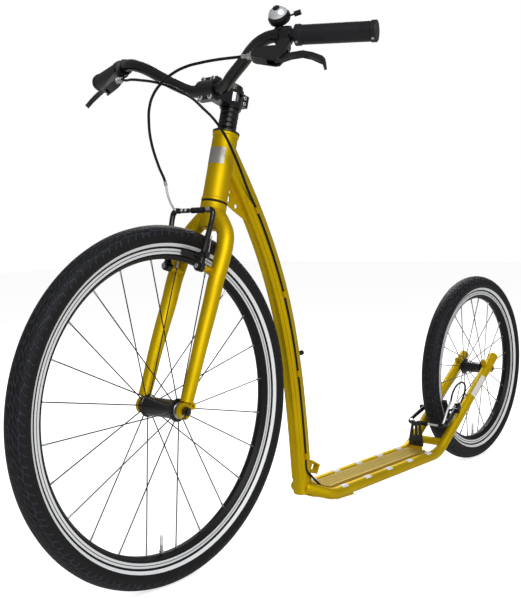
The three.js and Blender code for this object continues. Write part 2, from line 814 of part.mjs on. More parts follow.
function forkLeg(brakeBoss) {
  const face = hubSpacing / 2;
  const outer = face + dropoutThickness;
  const leg = taperedTube(legLine.map(([x, y, z]) => fromSteer(x, y, z)), legRadii, legSides);
  const dropout = crossRod(frontAxle, face, outer, forkDropoutRadius, 14);
  const ear = frontAxle.clone().add(vec(-forkEyelet.back, 0, forkEyelet.up));
  const tab = crossRod(ear, face, outer, forkEyelet.radius, 12);
  const bore = crossRod(ear, face - overrun, outer + overrun, forkEyelet.bore, 10);
  const slot = axleSlot(frontAxle, steerUp.clone().negate(), forkDropoutRadius + overrun);
  return cut(join(leg, dropout, tab, brakeBoss), crown(gap), slot, bore);
}

// Headset cover, spacers and stem
const coverRadius = 25.6;
const coverHeight = 3.7;
const coneTopRadius = 19;
const coverTop = 9.7;
const spacerRadius = 17.6;
const spacerSides = 14;
const stemClampHeight = 37.7;
const stemBarRise = 15.7;
const stemFoot = headTubeLength + coverTop + spacerCount * spacerPitch;
const stemTop = stemFoot + stemClampHeight;
const stemHeight = stemFoot + stemBarRise;
const stemClampRadius = 20.5;
const stemBarRadius = 18;
const stemHalfWidth = 21;
const faceplateGap = 0.8;
const stemSides = 16;
const onStem = (z) => stemHeight + z;
const pinch = { x: [-34, -14], y: [-11, 11], z: [-2, 21].map(onStem) };
const pinchSplitHalf = 0.8;
const stemNeckFromBar = [[9, -13], [40, -12], [56, -18], [56, 18], [40, 13], [9, 19]];
const stemNeck = stemNeckFromBar.map(([x, z]) => [x, onStem(z)]);
const stemNeckWidth = 30;
const stemWindow = { x: [-8, 7], z: [-3, 14].map(onStem) };
const faceplateBoltPlaces = [[-12, -17], [12, -17], [-12, 17], [12, 17]];
const faceplateLip = 6.5;
const faceplateHalfHeight = 21.5;
const stemBoltShank = 2.3;
const stemBoltReach = 10;
const stemBoltHead = 3.6;
const stemBoltHeadHeight = 3;
const topCapProfile = [[0, 0], [16.4, 0], [17.6, 1.5], [17.6, 6], [14, 9.5], [5, 9.5], [4, 8], [0, 8]];

function headsetCover() {
  const inner = steererRadius + gap;
  const low = headTubeLength + gap;
  const step = headTubeLength + coverHeight;
  const high = headTubeLength + coverTop;
  return steerTurned([
    [inner, low], [coverRadius, low], [coverRadius, step],
    [coneTopRadius, step], [spacerRadius, high], [inner, high],
  ], headSides);
}

function spacer(index) {
  const foot = headTubeLength + coverTop;
  const inner = clearing(steererRadius + gap, spacerSides);
  const low = foot + index * spacerPitch + gap;
  const high = foot + (index + 1) * spacerPitch;
  return steerTurned([[inner, low], [spacerRadius, low], [spacerRadius, high], [inner, high]], spacerSides);
}

function alongClamp(radius, half) {
  return crossRod(vec(stemReach, 0, stemHeight), -half, half, radius, stemSides);
}

function faceplateBolts(growth) {
  const seat = stemReach + faceplateLip;
  return faceplateBoltPlaces.map(([y, z]) => {
    const tip = vec(seat + stemBoltHeadHeight, y, stemHeight + z);
    const root = vec(stemReach - stemBoltReach, y, stemHeight + z);
    return rod(root, tip, stemBoltShank + growth, 8);
  });
}

// A block across the bar clamp, from one distance x to another, wider and higher by a margin.
function clampBlock(x0, x1, half, margin) {
  const height = faceplateHalfHeight + margin;
  return block([x0, x1], [-half - margin, half + margin], [stemHeight - height, stemHeight + height]);
}

function stemBody() {
  const low = stemFoot + gap;
  const through = stemClampRadius + overrun;
  const welded = join(
    rod(vec(0, 0, low), vec(0, 0, stemTop), stemClampRadius, stemSides),
    sidePlate(stemNeck, stemNeckWidth),
    alongClamp(stemBarRadius, stemHalfWidth),
    clampBlock(stemReach - faceplateLip, stemReach, stemHalfWidth, 0),
    block(pinch.x, pinch.y, pinch.z));
  const front = clampBlock(stemReach, stemReach + stemBarRadius + overrun, stemHalfWidth, overrun);
  const height = [low - overrun, stemTop + overrun];
  const bore = rod(vec(0, 0, height[0]), vec(0, 0, height[1]), steererRadius + gap, headSides);
  const split = block([pinch.x[0] - overrun, 0], [-pinchSplitHalf, pinchSplitHalf], height);
  const windowHole = block(stemWindow.x, [-through, through], stemWindow.z);
  const barHole = alongClamp(barClampRadius + gap, stemHalfWidth + overrun);
  return steered(cut(welded, front, bore, barHole, split, windowHole, ...faceplateBolts(gap)));
}

function stemFaceplate() {
  const start = stemReach + faceplateGap;
  const seat = stemReach + faceplateLip;
  const half = stemHalfWidth - gap;
  const blank = join(clampBlock(start, seat, half, 0), alongClamp(stemBarRadius, half));
  const back = clampBlock(stemReach - stemBarRadius - overrun, start, half, overrun);
  const barHole = alongClamp(barClampRadius + gap, half + overrun);
  const heads = faceplateBoltPlaces.map(([y, z]) => {
    const foot = vec(seat - gap, y, stemHeight + z);
    return rod(foot, vec(seat + stemBoltHeadHeight, y, stemHeight + z), stemBoltHead, 8);
  });
  return steered(join(cut(blank, back, barHole), ...heads, ...faceplateBolts(0)));
}

function stemTopCap() {
  return steerTurned(topCapProfile.map(([r, a]) => [r, stemTop + gap + a]), 16);
}

// Handlebar and grips
const barBend = [
  [-146, 0, 893.6], [-146, 23, 893.6], [-141.5, 42, 896.5], [-130.5, 70, 909], [-121.5, 110, 931],
  [-114.5, 135, 945], [-110, 160, 954.5], [-111, 178, 958], [-115, 191, 958.3],
];
const barSwellCount = 2;
const gripLine = { start: fromFrontAxle([-120.5, 205, 957.4]), end: fromFrontAxle([-176.5, 347, 951]) };
const barAxis = gripLine.end.clone().sub(gripLine.start).normalize();
const gripLength = gripLine.end.distanceTo(gripLine.start);
const bellPlace = -15;
const gripStart = 16;
const gripRadius = 16.3;
const gripRingRadius = 17.6;
const gripRingLength = 9;
const gripStep = 1;
const gripCap = 4;
const gripSides = 12;
const barSides = 10;
const alongGrip = (distance) => gripLine.start.clone().addScaledVector(barAxis, distance);

function handlebar() {
  const clampShift = fromSteer(stemReach, 0, stemHeight).sub(fromFrontAxle(barBend[0]));
  const bent = barBend.map(fromFrontAxle);
  bent.slice(0, barSwellCount).forEach((point) => point.add(clampShift));
  const half = [...bent, gripLine.start, alongGrip(gripLength - gripCap - gap)];
  const radii = half.map((_, i) => (i < barSwellCount ? barClampRadius : barRadius));
  const other = half.slice(1).map(({ x, y, z }) => vec(x, -y, z)).reverse();
  return taperedTube([...other, ...half], [...radii.slice(1).reverse(), ...radii], barSides);
}

function grip() {
  const end = gripLength;
  const bore = clearing(barRadius + gap, gripSides);
  const inner = gripStart + gripRingLength;
  const outer = end - gripRingLength;
  return revolve([
    [0, end], [gripRingRadius, end], [gripRingRadius, outer], [gripRadius, outer - gripStep],
    [gripRadius, inner + gripStep], [gripRingRadius, inner], [gripRingRadius, gripStart],
    [bore, gripStart], [bore, end - gripCap], [0, end - gripCap],
  ], gripSides, gripLine.start, barAxis);
}

// Brake levers, drawn in a plane through the grip that leans forward and down
const leverReach = vec(0.614, 0.21, -0.762);
leverReach.addScaledVector(barAxis, -leverReach.dot(barAxis)).normalize();
const leverFrame = frameAt(gripLine.start, barAxis, leverReach);
const fromLever = (a, f, n) => vec(a, f, n).applyMatrix4(leverFrame);
const leverBodyOutline = [
  [-49, 41], [-35, 33], [-11, 32], [-7, 12], [8, 12], [11, 24], [10, 47], [1, 66],
  [-6, 67], [-42, 58], [-49, 54],
];
const leverBodyWidth = 16;
const leverSlot = { a: [-20, 24], f: [38, 80], half: 4.8 };
const leverPivot = [-4, 58];
const leverPinRadius = 2.5;
const clampRingRadius = 15.6;
const clampRingHalf = 7;
const leverBoreHalf = 20;
const bladeOutline = [
  [-9, 52], [2, 52], [20, 46.5], [38, 43.5], [56, 49], [74, 58.5], [80, 66], [84.5, 82], [80.5, 84],
  [75, 70.5], [68, 66.5], [54, 58], [38, 52.5], [20, 55.5], [4, 63], [-7, 64],
];
const bladeWidth = 9;
const barrel = { start: -49, end: -59.5, place: 47.6, radius: 5.6, collar: 4, collarRadius: 6.6 };

// Lays an outline of [along the bar, reach] in the lever's plane.
function leverPlate(outline, width) {
  return plate(outline, width).translate(0, 0, -width / 2);
}

function leverPin(radius, half) {
  const [a, f] = leverPivot;
  return rod(vec(a, f, -half), vec(a, f, half), radius, 10);
}

function leverBracket() {
  const ring = rod(vec(-clampRingHalf, 0, 0), vec(clampRingHalf, 0, 0), clampRingRadius, 12);
  const bore = rod(vec(-leverBoreHalf, 0, 0), vec(leverBoreHalf, 0, 0), barRadius + 2 * gap, 12);
  const { a, f, half } = leverSlot;
  const slot = block(a, f, [-half, half]);
  const body = cut(join(leverPlate(leverBodyOutline, leverBodyWidth), ring), bore, slot);
  return join(body, leverPin(leverPinRadius, leverBodyWidth / 2 + gap)).applyMatrix4(leverFrame);
}

function leverBlade() {
  const hole = leverPin(leverPinRadius + runningGap, leverBodyWidth);
  return cut(leverPlate(bladeOutline, bladeWidth), hole).applyMatrix4(leverFrame);
}

function barrelAdjuster() {
  const at = (a) => fromLever(a, barrel.place, 0);
  const root = at(barrel.start - gap);
  const collar = rod(root, at(barrel.start - barrel.collar), barrel.collarRadius, 12);
  return join(rod(root, at(barrel.end), barrel.radius, 12), collar);
}

// Bell on the left of the handlebar
const bellMiddle = fromFrontAxle([-119.5, 190, 990]);
const bellAxis = vec(0.72, 0.25, 0.64).normalize();
const bellStrike = vec(-0.502, 0.83, 0.238);
bellStrike.addScaledVector(bellAxis, -bellStrike.dot(bellAxis)).normalize();
const bellFrame = frameAt(bellMiddle, bellStrike, bellAxis);
const bellClampHalf = 4;
const bellClampBore = barRadius + 4 * gap;
const bellClampRadius = 14.6;
const bellPost = 4.5;
const domeProfile = [
  [0, 19], [6, 19], [6, 17.6], [12, 14.4], [16.4, 9], [18.5, 1.2],
  [17.1, 1.2], [15, 8.2], [11, 13], [6, 15.4], [0, 15.8],
];
const baseProfile = [[0, -10], [12, -10], [18, -7], [19.2, -2], [19.2, 0.8], [0, 0.8]];
const strikerSlot = { x: [12, 24], y: [-6.5, -2.2], z: [-3.2, 3.2] };
const striker = { root: 13, neck: 25, tip: 37, height: -4.4, radius: 1.7, knob: 4.6 };

function bellBase() {
  const [ringStart, ringEnd] = [bellPlace - bellClampHalf, bellPlace + bellClampHalf].map(alongGrip);
  const ring = rod(ringStart, ringEnd, bellClampRadius, 12);
  const reach = bellClampHalf + overrun;
  const bore = rod(alongGrip(bellPlace - reach), alongGrip(bellPlace + reach), bellClampBore, 14);
  const slot = block(strikerSlot.x, strikerSlot.y, strikerSlot.z);
  const pan = cut(revolve(baseProfile, 16), slot).applyMatrix4(bellFrame);
  const seat = vec(0, baseProfile[0][1] + overrun, 0).applyMatrix4(bellFrame);
  return cut(join(ring, pan, rod(alongGrip(bellPlace), seat, bellPost, 10)), bore);
}

function bellDome() {
  return revolve(domeProfile, 16).applyMatrix4(bellFrame);
}

function bellStriker() {
  const at = (x) => vec(x, striker.height, 0);
  const arm = rod(at(striker.root), at(striker.tip), striker.radius, 8);
  return join(arm, rod(at(striker.neck), at(striker.tip), striker.knob, 10)).applyMatrix4(bellFrame);
}

// Rim brakes: both are drawn in one local frame at their axle, x away from the fork or the stays,
// z towards the brake. The noodle is on the side y < 0.
const padRise = 22;
const pivotHalfSpacing = 41.5;
const armThickness = 11;
const pinRadius = 4;
const bossBaseRadius = 6.5;
const pinHeadRadius = 6.5;
const pinHeadHeight = 3;
const armHeadInside = -5.5;
const armOutline = [
  [-8, -5], [-8.6, 4], [-4.6, 20], [0, 45], [3.6, 70], [3.6, 90], [armHeadInside, 92], [armHeadInside, 107],
  [12, 107], [16.5, 101], [16.5, 84], [13, 56], [10.6, 30], [9.6, 8], [7, -5], [0, -9],
];
const armOutlineLength = 100;
const shoeHalfLength = 26;
const shoeHeight = [-6, 3.2];
const shoeThickness = 10;
const postRadius = 3;
const postEnd = 57;
const padNutRadius = 5.6;
const padNutStart = 52.6;
const noodleRadius = 2.4;
const bootStart = -4;
const bootEnd = 28;
const bootRibs = 4;
const bootRadius = 5.4;
const bootWaist = 4;
const wireRadius = 1;
const anchorPlace = 41.5;
const anchorHeadRadius = 5;
const anchorHeadHeight = 4;

function brakeLayout(centre, out, towards, planeOffset, beadRadius, bossDepth, noodle) {
  const sideways = towards.clone().cross(out);
  const origin = centre.clone().addScaledVector(out, planeOffset);
  const matrix = new THREE.Matrix4().makeBasis(out, sideways, towards).setPosition(origin);
  const track = beadRadius + rimFlange - trackDepth / 2;
  const bent = places(noodle);
  const pivot = track - padRise;
  const armTop = bent[bent.length - 1].z - pivot;
  return { matrix, track, pivot, armTop, bossDepth, noodle: bent };
}

const frontNoodle = [
  [38.6, -41, 397.9], [22, -42.2, 378.5], [10, -43.4, 367.5], [3.4, -42.6, 362.8], [0, -37.5, 362],
];
const rearNoodle = [
  [30, -45, 219], [22, -46, 238], [13, -46.8, 255], [5.5, -46.6, 267], [1, -43.6, 272.6], [0, -37.5, 273.5],
];
const frontBrakePlane = 10;
const frontBossDepth = 36;
const rearBrakePlane = -5;
const rearBossDepth = 24;
const brakeTurn = 12;
const rearBrakeAngle = radians(stayAngle - brakeTurn);
const rearBrakeOut = vec(Math.sin(rearBrakeAngle), 0, Math.cos(rearBrakeAngle));
const rearBrakeTowards = vec(Math.cos(rearBrakeAngle), 0, -Math.sin(rearBrakeAngle));
const frontBrake = brakeLayout(
  frontAxle, steerForward, steerUp, frontBrakePlane, frontBeadRadius, frontBossDepth, frontNoodle);
const rearBrake = brakeLayout(
  rearAxle, rearBrakeOut, rearBrakeTowards, rearBrakePlane, rearBeadRadius, rearBossDepth, rearNoodle);

// The boss on a leg or stay, with the pin that carries the arm and the head that keeps it on.
function brakeBoss(layout, side) {
  const back = -armThickness / 2 - gap;
  const front = armThickness / 2 + gap;
  const at = (x) => vec(x, side * pivotHalfSpacing, layout.pivot);
  const boss = join(
    rod(at(-layout.bossDepth), at(back), bossBaseRadius, 10),
    rod(at(back - overrun), at(front + pinHeadHeight), pinRadius, 10),
    rod(at(front), at(front + pinHeadHeight), pinHeadRadius, 8));
  return boss.applyMatrix4(layout.matrix);
}

function noodleTube(layout, growth) {
  const last = layout.noodle[layout.noodle.length - 1];
  const tip = last.clone().setY(bootStart - gap);
  return sweep([...layout.noodle, tip], circle(8, noodleRadius + growth));
}

function brakeArm(layout, side) {
  const stretch = layout.armTop / armOutlineLength;
  const outline = armOutline.map(([y, z]) => [side * (pivotHalfSpacing + y), layout.pivot + z * stretch]);
  const half = armThickness / 2;
  const at = (x, y, z) => vec(x, side * y, layout.pivot + z);
  const back = at(-half - overrun, pivotHalfSpacing, 0);
  const bore = rod(back, at(half + overrun, pivotHalfSpacing, 0), pinRadius + runningGap, 10);
  const postHole = rod(at(0, 0, padRise), at(0, postEnd + overrun, padRise), postRadius + gap, 10);
  const arm = cut(alongX(outline, -half, half), bore, postHole);
  if (side < 0) return cut(arm, noodleTube(layout, gap));
  const head = at(half + anchorHeadHeight, anchorPlace, layout.armTop);
  return join(arm, rod(at(0, anchorPlace, layout.armTop), head, anchorHeadRadius, 6));
}

function brakePad(layout, side) {
  const inner = rimHalfWidth + padGap;
  const span = [side * inner, side * (inner + shoeThickness)].sort((a, b) => a - b);
  const shoe = block([-shoeHalfLength, shoeHalfLength], span, shoeHeight.map((z) => layout.track + z));
  const at = (distance) => vec(0, side * distance, layout.track);
  const post = rod(at(inner + shoeThickness / 2), at(postEnd), postRadius, 10);
  return join(shoe, post, rod(at(padNutStart), at(postEnd), padNutRadius, 6));
}

function brakeBoot(layout) {
  const pitch = (bootEnd - bootStart) / bootRibs;
  const ribs = Array.from({ length: bootRibs }, (_, i) => [
    [bootWaist, bootStart + i * pitch], [bootRadius, bootStart + (i + 1 / 2) * pitch],
  ]).flat();
  const wireEnd = pivotHalfSpacing + armHeadInside - gap;
  const wire = [[bootWaist, bootEnd], [wireRadius, bootEnd], [wireRadius, wireEnd], [0, wireEnd]];
  return revolve([[0, bootStart], ...ribs, ...wire], 8, vec(0, 0, layout.pivot + layout.armTop));
}

function brake(prefix, layout, sideName) {
  const group = new THREE.Group();
  group.applyMatrix4(layout.matrix);
  for (const side of [-1, 1]) {
    group.add(mesh(`${prefix}_arm_${sideName(side)}`, brakeArm(layout, side), "black"));
    group.add(mesh(`${prefix}_pad_${sideName(side)}`, brakePad(layout, side), "rubber"));
  }
  group.add(mesh(`${prefix}_noodle`, noodleTube(layout, 0), "silver"));
  group.add(mesh(`${prefix}_boot`, brakeBoot(layout), "rubber"));
  return group;
}

// Brake cables
const frontCableRoute = [
  [-64.5, 145, 924], [-46.5, 109, 922], [-34.5, 86, 919], [-24.5, 65, 915], [-16.5, 42, 907],
  [-10.5, 16, 892], [-8.5, -5, 873], [-10, -17, 853], [-15, -25, 832], [-26.5, -34, 800],
  [-47.5, -39.5, 757],
];
const rearCableRoute = [
  [-65.5, -141, 921], [-61, -118, 920], [-56.5, -86, 916.5], [-55.5, -56, 911.5], [-57.5, -33, 905],
  [-63.5, -12, 895.5], [-71.5, 4, 884.5], [-81.5, 18, 872], [-95.5, 31, 854], [-109.5, 40, 838],
  [-130.5, 46, 812],  [-158.5, 44, 776], [-184.5, 36.5, 747], [-212.5, 26, 717],
];
const rearRunFoot = [
  [753, 18.6, 115], [740, 19.6, 102], [727, 20.6, 90], [715, 22.2, 76.5], [703, 24.2, 66], [688, 25.6, 61.6],
];
const rearRunDeck = [[660, 26, 61.2], [315, 26, 61.2]];
const rearRunStay = [
  [288, 26.4, 62.6], [264, 27.4, 67], [246, 28, 71.5], [231, 28.3, 77], [218, 28.3, 85], [205, 28.3, 95.5],
  [160, 28.3, 139], [121, 28.3, 174.5], [109, 29.4, 190], [106, 31.4, 205], [113, 34.4, 219], [131, 38, 228],
  [154, 41, 229.6], [177, 43, 223.5], [195, 44.4, 210],
];
const grooveSteps = 17;
const grooveTop = 686;
const grooveBottom = 128;
const frontCableSteps = 27;
const rearLoopSteps = 32;
const footSteps = 9;
const staySteps = 27;
const cableLead = 8;
const cableJoint = 1.2;
const cableEnd = 1;

// The start of a housing: two places on the barrel's axis, on the left or mirrored to the right.
function leverCableStart(side) {
  return [cableEnd, cableLead].map((distance) => {
    const place = fromLever(barrel.end - distance, barrel.place, 0);
    return place.setY(side * place.y);
  });
}

// The end of a housing at its brake: two places on the axis of the noodle's mouth.
function noodleMouth(layout) {
  const [mouth, next] = layout.noodle;
  const outwards = mouth.clone().sub(next).normalize();
  return [cableLead, cableEnd].map((distance) =>
    mouth.clone().addScaledVector(outwards, distance).applyMatrix4(layout.matrix));
}

function frontCableLine() {
  const route = [...leverCableStart(1), ...frontCableRoute.map(fromFrontAxle), ...noodleMouth(frontBrake)];
  return smooth(route, frontCableSteps);
}

function rearLoopLine() {
  const end = groovePoint(grooveTop + cableJoint);
  return smooth([...leverCableStart(-1), ...rearCableRoute.map(fromFrontAxle), end], rearLoopSteps);
}

function rearRunLine() {
  const step = (grooveBottom - grooveTop) / grooveSteps;
  const groove = Array.from({ length: grooveSteps + 1 }, (_, i) => groovePoint(grooveTop + step * i));
  const foot = smooth([groove[grooveSteps], ...places([...rearRunFoot, rearRunDeck[0]])], footSteps);
  const tail = [...places([rearRunDeck[1], ...rearRunStay]), ...noodleMouth(rearBrake)];
  const stay = smooth(tail, staySteps);
  return [...groove, ...foot.slice(1), ...stay];
}

// The whole bike, with its middle on the centre of its length
const bike = new THREE.Group();
const rearRun = rearRunLine();
const rearLoop = rearLoopLine();
const leftRail = deckRail(brakeBoss(rearBrake, -1));
const leftLeg = forkLeg(brakeBoss(frontBrake, 1));
bike.add(mesh("head_tube", headTube(), "frame"));
bike.add(mesh("main_tube", mainTube(housingAlong(rearRun, gap), housingAlong(rearLoop, gap)), "frame"));
bike.add(mesh("head_gusset", gusset(), "frame"));
bike.add(mesh("deck_rail_left", leftRail, "frame"));
bike.add(mesh("deck_rail_right", mirrored(leftRail), "frame"));
bike.add(mesh("deck_plank", deckPlank(), "frame"));
bike.add(mesh("foot_plate", footPlate(), "frame"));
bike.add(mesh("stay_bridge", stayBridge(), "frame"));
bike.add(mesh("heel_plate", heelPlate(), "frame"));
bike.add(mesh("heel_bracket", heelBracket(), "black"));
bike.add(mesh("lock_loop", lockLoop(), "frame"));
bike.add(mesh("tube_plug", tubePlug(0), "rubber"));
bike.add(mesh("upper_bearing", upperBearing(), "silver"));
bike.add(mesh("lower_bearing", lowerBearing(), "black"));
bike.add(mesh("fork_crown", crown(0), "frame"));
bike.add(mesh("fork_leg_left", leftLeg, "frame"));
bike.add(mesh("fork_leg_right", mirrored(leftLeg), "frame"));
bike.add(mesh("headset_cover", headsetCover(), "black"));
for (let i = 0; i < spacerCount; i += 1) bike.add(mesh(`spacer_${i + 1}`, spacer(i), "black"));
bike.add(mesh("stem_body", stemBody(), "black"));
bike.add(mesh("stem_faceplate", stemFaceplate(), "black"));
bike.add(mesh("stem_top_cap", stemTopCap(), "black"));
bike.add(mesh("handlebar", handlebar(), "black"));
bike.add(mesh("grip_left", grip(), "rubber"));
bike.add(mesh("grip_right", mirrored(grip()), "rubber"));
bike.add(mesh("lever_bracket_left", leverBracket(), "black"));
bike.add(mesh("lever_bracket_right", mirrored(leverBracket()), "black"));
bike.add(mesh("brake_lever_left", leverBlade(), "black"));
bike.add(mesh("brake_lever_right", mirrored(leverBlade()), "black"));
bike.add(mesh("barrel_adjuster_left", barrelAdjuster(), "silver"));
bike.add(mesh("barrel_adjuster_right", mirrored(barrelAdjuster()), "silver"));
bike.add(mesh("bell_base", bellBase(), "black"));
bike.add(mesh("bell_dome", bellDome(), "silver"));
bike.add(mesh("bell_striker", bellStriker(), "black"));
bike.add(mesh("front_cable", housingAlong(frontCableLine()), "black"));
bike.add(mesh("rear_cable_loop", housingAlong(rearLoop), "black"));
bike.add(mesh("rear_cable_run", housingAlong(rearRun), "black"));
bike.add(wheel("front", frontAxle, frontWheelRadius, frontBeadRadius, frontWheel));
bike.add(wheel("rear", rearAxle, rearWheelRadius, rearBeadRadius, rearWheel));
bike.add(brake("front", frontBrake, (side) => (side > 0 ? "left" : "right")));
bike.add(brake("rear", rearBrake, (side) => (side > 0 ? "right" : "left")));
bike.position.x = -(wheelbase + frontWheelRadius - rearWheelRadius) / 2;

const group = new THREE.Group();
group.add(bike);
group.updateMatrixWorld(true);
export default group;
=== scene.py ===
# %% [markdown]
# A kick bike in satin yellow enamel, with a large front wheel and a small rear one.
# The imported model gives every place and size, and this lesson dresses it: smooth tubes, round
# tyres, spokes with nipples and a material for each finish.

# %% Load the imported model
import json
import math

import bmesh
import bpy
from mathutils import Matrix, Vector


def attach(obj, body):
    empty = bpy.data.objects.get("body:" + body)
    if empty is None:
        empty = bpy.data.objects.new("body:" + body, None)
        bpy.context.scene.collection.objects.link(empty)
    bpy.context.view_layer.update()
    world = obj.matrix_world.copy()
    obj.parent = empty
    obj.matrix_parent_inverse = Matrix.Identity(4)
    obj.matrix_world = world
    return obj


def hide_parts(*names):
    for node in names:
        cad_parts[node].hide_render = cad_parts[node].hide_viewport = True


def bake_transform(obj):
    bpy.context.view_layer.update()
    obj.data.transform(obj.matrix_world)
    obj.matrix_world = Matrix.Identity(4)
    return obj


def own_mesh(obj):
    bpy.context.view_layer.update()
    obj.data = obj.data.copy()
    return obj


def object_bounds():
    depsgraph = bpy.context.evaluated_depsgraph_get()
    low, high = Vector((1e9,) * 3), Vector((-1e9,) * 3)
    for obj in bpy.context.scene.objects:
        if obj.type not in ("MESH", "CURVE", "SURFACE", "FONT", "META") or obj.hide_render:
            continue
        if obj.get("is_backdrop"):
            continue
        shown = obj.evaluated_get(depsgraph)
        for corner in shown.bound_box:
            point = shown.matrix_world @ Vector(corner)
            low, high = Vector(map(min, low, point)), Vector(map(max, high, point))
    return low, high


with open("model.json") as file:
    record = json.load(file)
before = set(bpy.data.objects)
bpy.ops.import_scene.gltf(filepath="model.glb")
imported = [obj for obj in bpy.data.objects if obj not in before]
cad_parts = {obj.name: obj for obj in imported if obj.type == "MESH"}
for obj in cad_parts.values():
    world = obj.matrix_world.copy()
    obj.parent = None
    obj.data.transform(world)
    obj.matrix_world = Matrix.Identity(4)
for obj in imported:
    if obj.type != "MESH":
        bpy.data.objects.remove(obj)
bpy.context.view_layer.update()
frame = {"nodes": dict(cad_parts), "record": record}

mm = 0.001
bodies = frame["record"]["behaviour"]["bodies"]
body_of = {node: body for body, nodes in bodies.items() for node in nodes}

# %% [markdown]
# Two frames of reference help. Most places are counted from the rear axle along the ground, and
# what turns with the fork is counted from the foot of the head tube, with its axis leaning back.
# What stands on both sides is laid out on the left and mirrored to the right.

# %% Places on the bike
middle = 615.75
wheelbase = 1154.5
front_radius, rear_radius = 325.5, 248.5
front_bead, rear_bead = 279.5, 203
head_angle = 73.6
head_length = 131.3
fork_rake = 39.5
axle_to_head = 392.5
ahead = Vector((1, 0, 0))
leftward = Vector((0, 1, 0))
upward = Vector((0, 0, 1))
rear_axle = Vector((-middle, 0, rear_radius)) * mm
front_axle = Vector((wheelbase - middle, 0, front_radius)) * mm
lean = math.radians(90 - head_angle)
steer_forward = Vector((math.cos(lean), 0, math.sin(lean)))
steer_up = Vector((-math.sin(lean), 0, math.cos(lean)))
head_foot = front_axle - steer_forward * fork_rake * mm + steer_up * axle_to_head * mm


def bike(x, y, z):
    return Vector((x - middle, y, z)) * mm


def steer(x, y, z):
    return head_foot + (steer_forward * x + leftward * y + steer_up * z) * mm


def on_side(side, point):
    return Vector((point.x, side * point.y, point.z))


def frame_of(origin, first, second, third):
    return Matrix.Translation(origin) @ Matrix((first, second, third)).transposed().to_4x4()


print("foot of the head tube", [round(v, 4) for v in head_foot])

# %% [markdown]
# The camera stands ahead of the bike on its left, a little above the axles, as in the photograph.
# Its place and lens come from fitting the wheels and the steering axis, and the lens is shifted a
# little, as the fit asks.

# %% Camera
picture_height = 599
focal_pixels = 924.138
centre_row = 340.187
sensor = 36
yaw, pitch, roll = -2.4245, 0.1214, -0.0247
look = Vector((
    math.cos(pitch) * math.cos(yaw), math.cos(pitch) * math.sin(yaw), -math.sin(pitch)))
level_right = look.cross(upward).normalized()
level_up = level_right.cross(look)
right = level_right * math.cos(roll) + level_up * math.sin(roll)
up = level_up * math.cos(roll) - level_right * math.sin(roll)
lens = bpy.data.cameras.new("camera")
lens.sensor_width = sensor
lens.lens = focal_pixels * sensor / picture_height
lens.shift_y = (centre_row - picture_height / 2) / picture_height
camera = bpy.data.objects.new("camera", lens)
camera.matrix_world = frame_of(bike(2265.8, 1204.4, 642), right, up, -look)
bpy.context.scene.collection.objects.link(camera)
bpy.context.scene.camera = camera
print("lens", round(lens.lens, 2), "mm")

# %% [markdown]
# A material is a few nodes around one shader. One helper adds a node with its settings and links,
# and one turns the hex value of a colour, as a paint chart gives it, into Blender's linear colour.

# %% Colour and node helpers
def colour(hex_value):
    channels = [((hex_value >> step) & 255) / 255 for step in (16, 8, 0)]
    linear = [c / 12.92 if c <= 0.04045 else ((c + 0.055) / 1.055) ** 2.4 for c in channels]
    return (*linear, 1)


def add(material, kind, inputs, **settings):
    node = material.node_tree.nodes.new("ShaderNode" + kind)
    for name, value in settings.items():
        setattr(node, name, value)
    for name, value in inputs.items():
        if isinstance(value, bpy.types.NodeSocket):
            material.node_tree.links.new(value, node.inputs[name])
        else:
            node.inputs[name].default_value = value
    return node


def start_material(name, **sockets):
    material = bpy.data.materials.new(name)
    material.use_nodes = True
    material.node_tree.nodes.clear()
    shader = add(material, "BsdfPrincipled", {
        key.replace("_", " "): value for key, value in sockets.items()})
    add(material, "OutputMaterial", {"Surface": shader.outputs[0]})
    place = add(material, "TexCoord", {}).outputs["Object"]
    return material, shader, place


def link(material, source, shader, socket):
    material.node_tree.links.new(source, shader.inputs[socket])


print("yellow", [round(v, 3) for v in colour(0xC8A800)])

# %% [markdown]
# The frame has a satin metallic enamel, sprayed over aluminium. Its flakes give a soft wide
# highlight, the spray leaves a faint orange peel about 3 mm wide, and the tone wanders a little.
# The flakes themselves are far too fine to show, so they are drawn 1.2 mm wide and very faint.

# %% Satin metallic enamel
enamel, shader, place = start_material(
    "satin_yellow_metallic_enamel", Metallic=0.85, Roughness=0.55)
drift = add(enamel, "TexNoise", {"Vector": place, "Scale": 1 / (90 * mm), "Detail": 2})
tone = add(enamel, "ValToRGB", {"Fac": drift.outputs["Fac"]})
tone.color_ramp.elements[0].position = 0.3
tone.color_ramp.elements[0].color = colour(0xD0B000)
tone.color_ramp.elements[1].position = 0.7
tone.color_ramp.elements[1].color = colour(0xDCBC00)
link(enamel, tone.outputs["Color"], shader, "Base Color")
flakes = add(enamel, "TexVoronoi", {"Vector": place, "Scale": 1 / (1.2 * mm)})
glint = add(enamel, "MapRange", {
    "Value": flakes.outputs["Distance"], "To Min": 0.5, "To Max": 0.62})
link(enamel, glint.outputs["Result"], shader, "Roughness")
peel = add(enamel, "TexNoise", {"Vector": place, "Scale": 1 / (3 * mm), "Detail": 1})
skin = add(enamel, "Bump", {"Height": peel.outputs["Fac"], "Strength": 0.12, "Distance": 0.15 * mm})
link(enamel, skin.outputs["Normal"], shader, "Normal")
print(enamel.name, len(enamel.node_tree.nodes), "nodes")

# %% [markdown]
# The bar, stem, levers, arms and hub shells are aluminium, bead blasted and then anodised black.
# Blasting leaves pits under a millimetre wide, drawn 0.8 mm here, which break up the highlight.
# The same function makes the duller black of the rims, the black lacquer on steel and the plank's
# enamel, which shoes have worn paler.

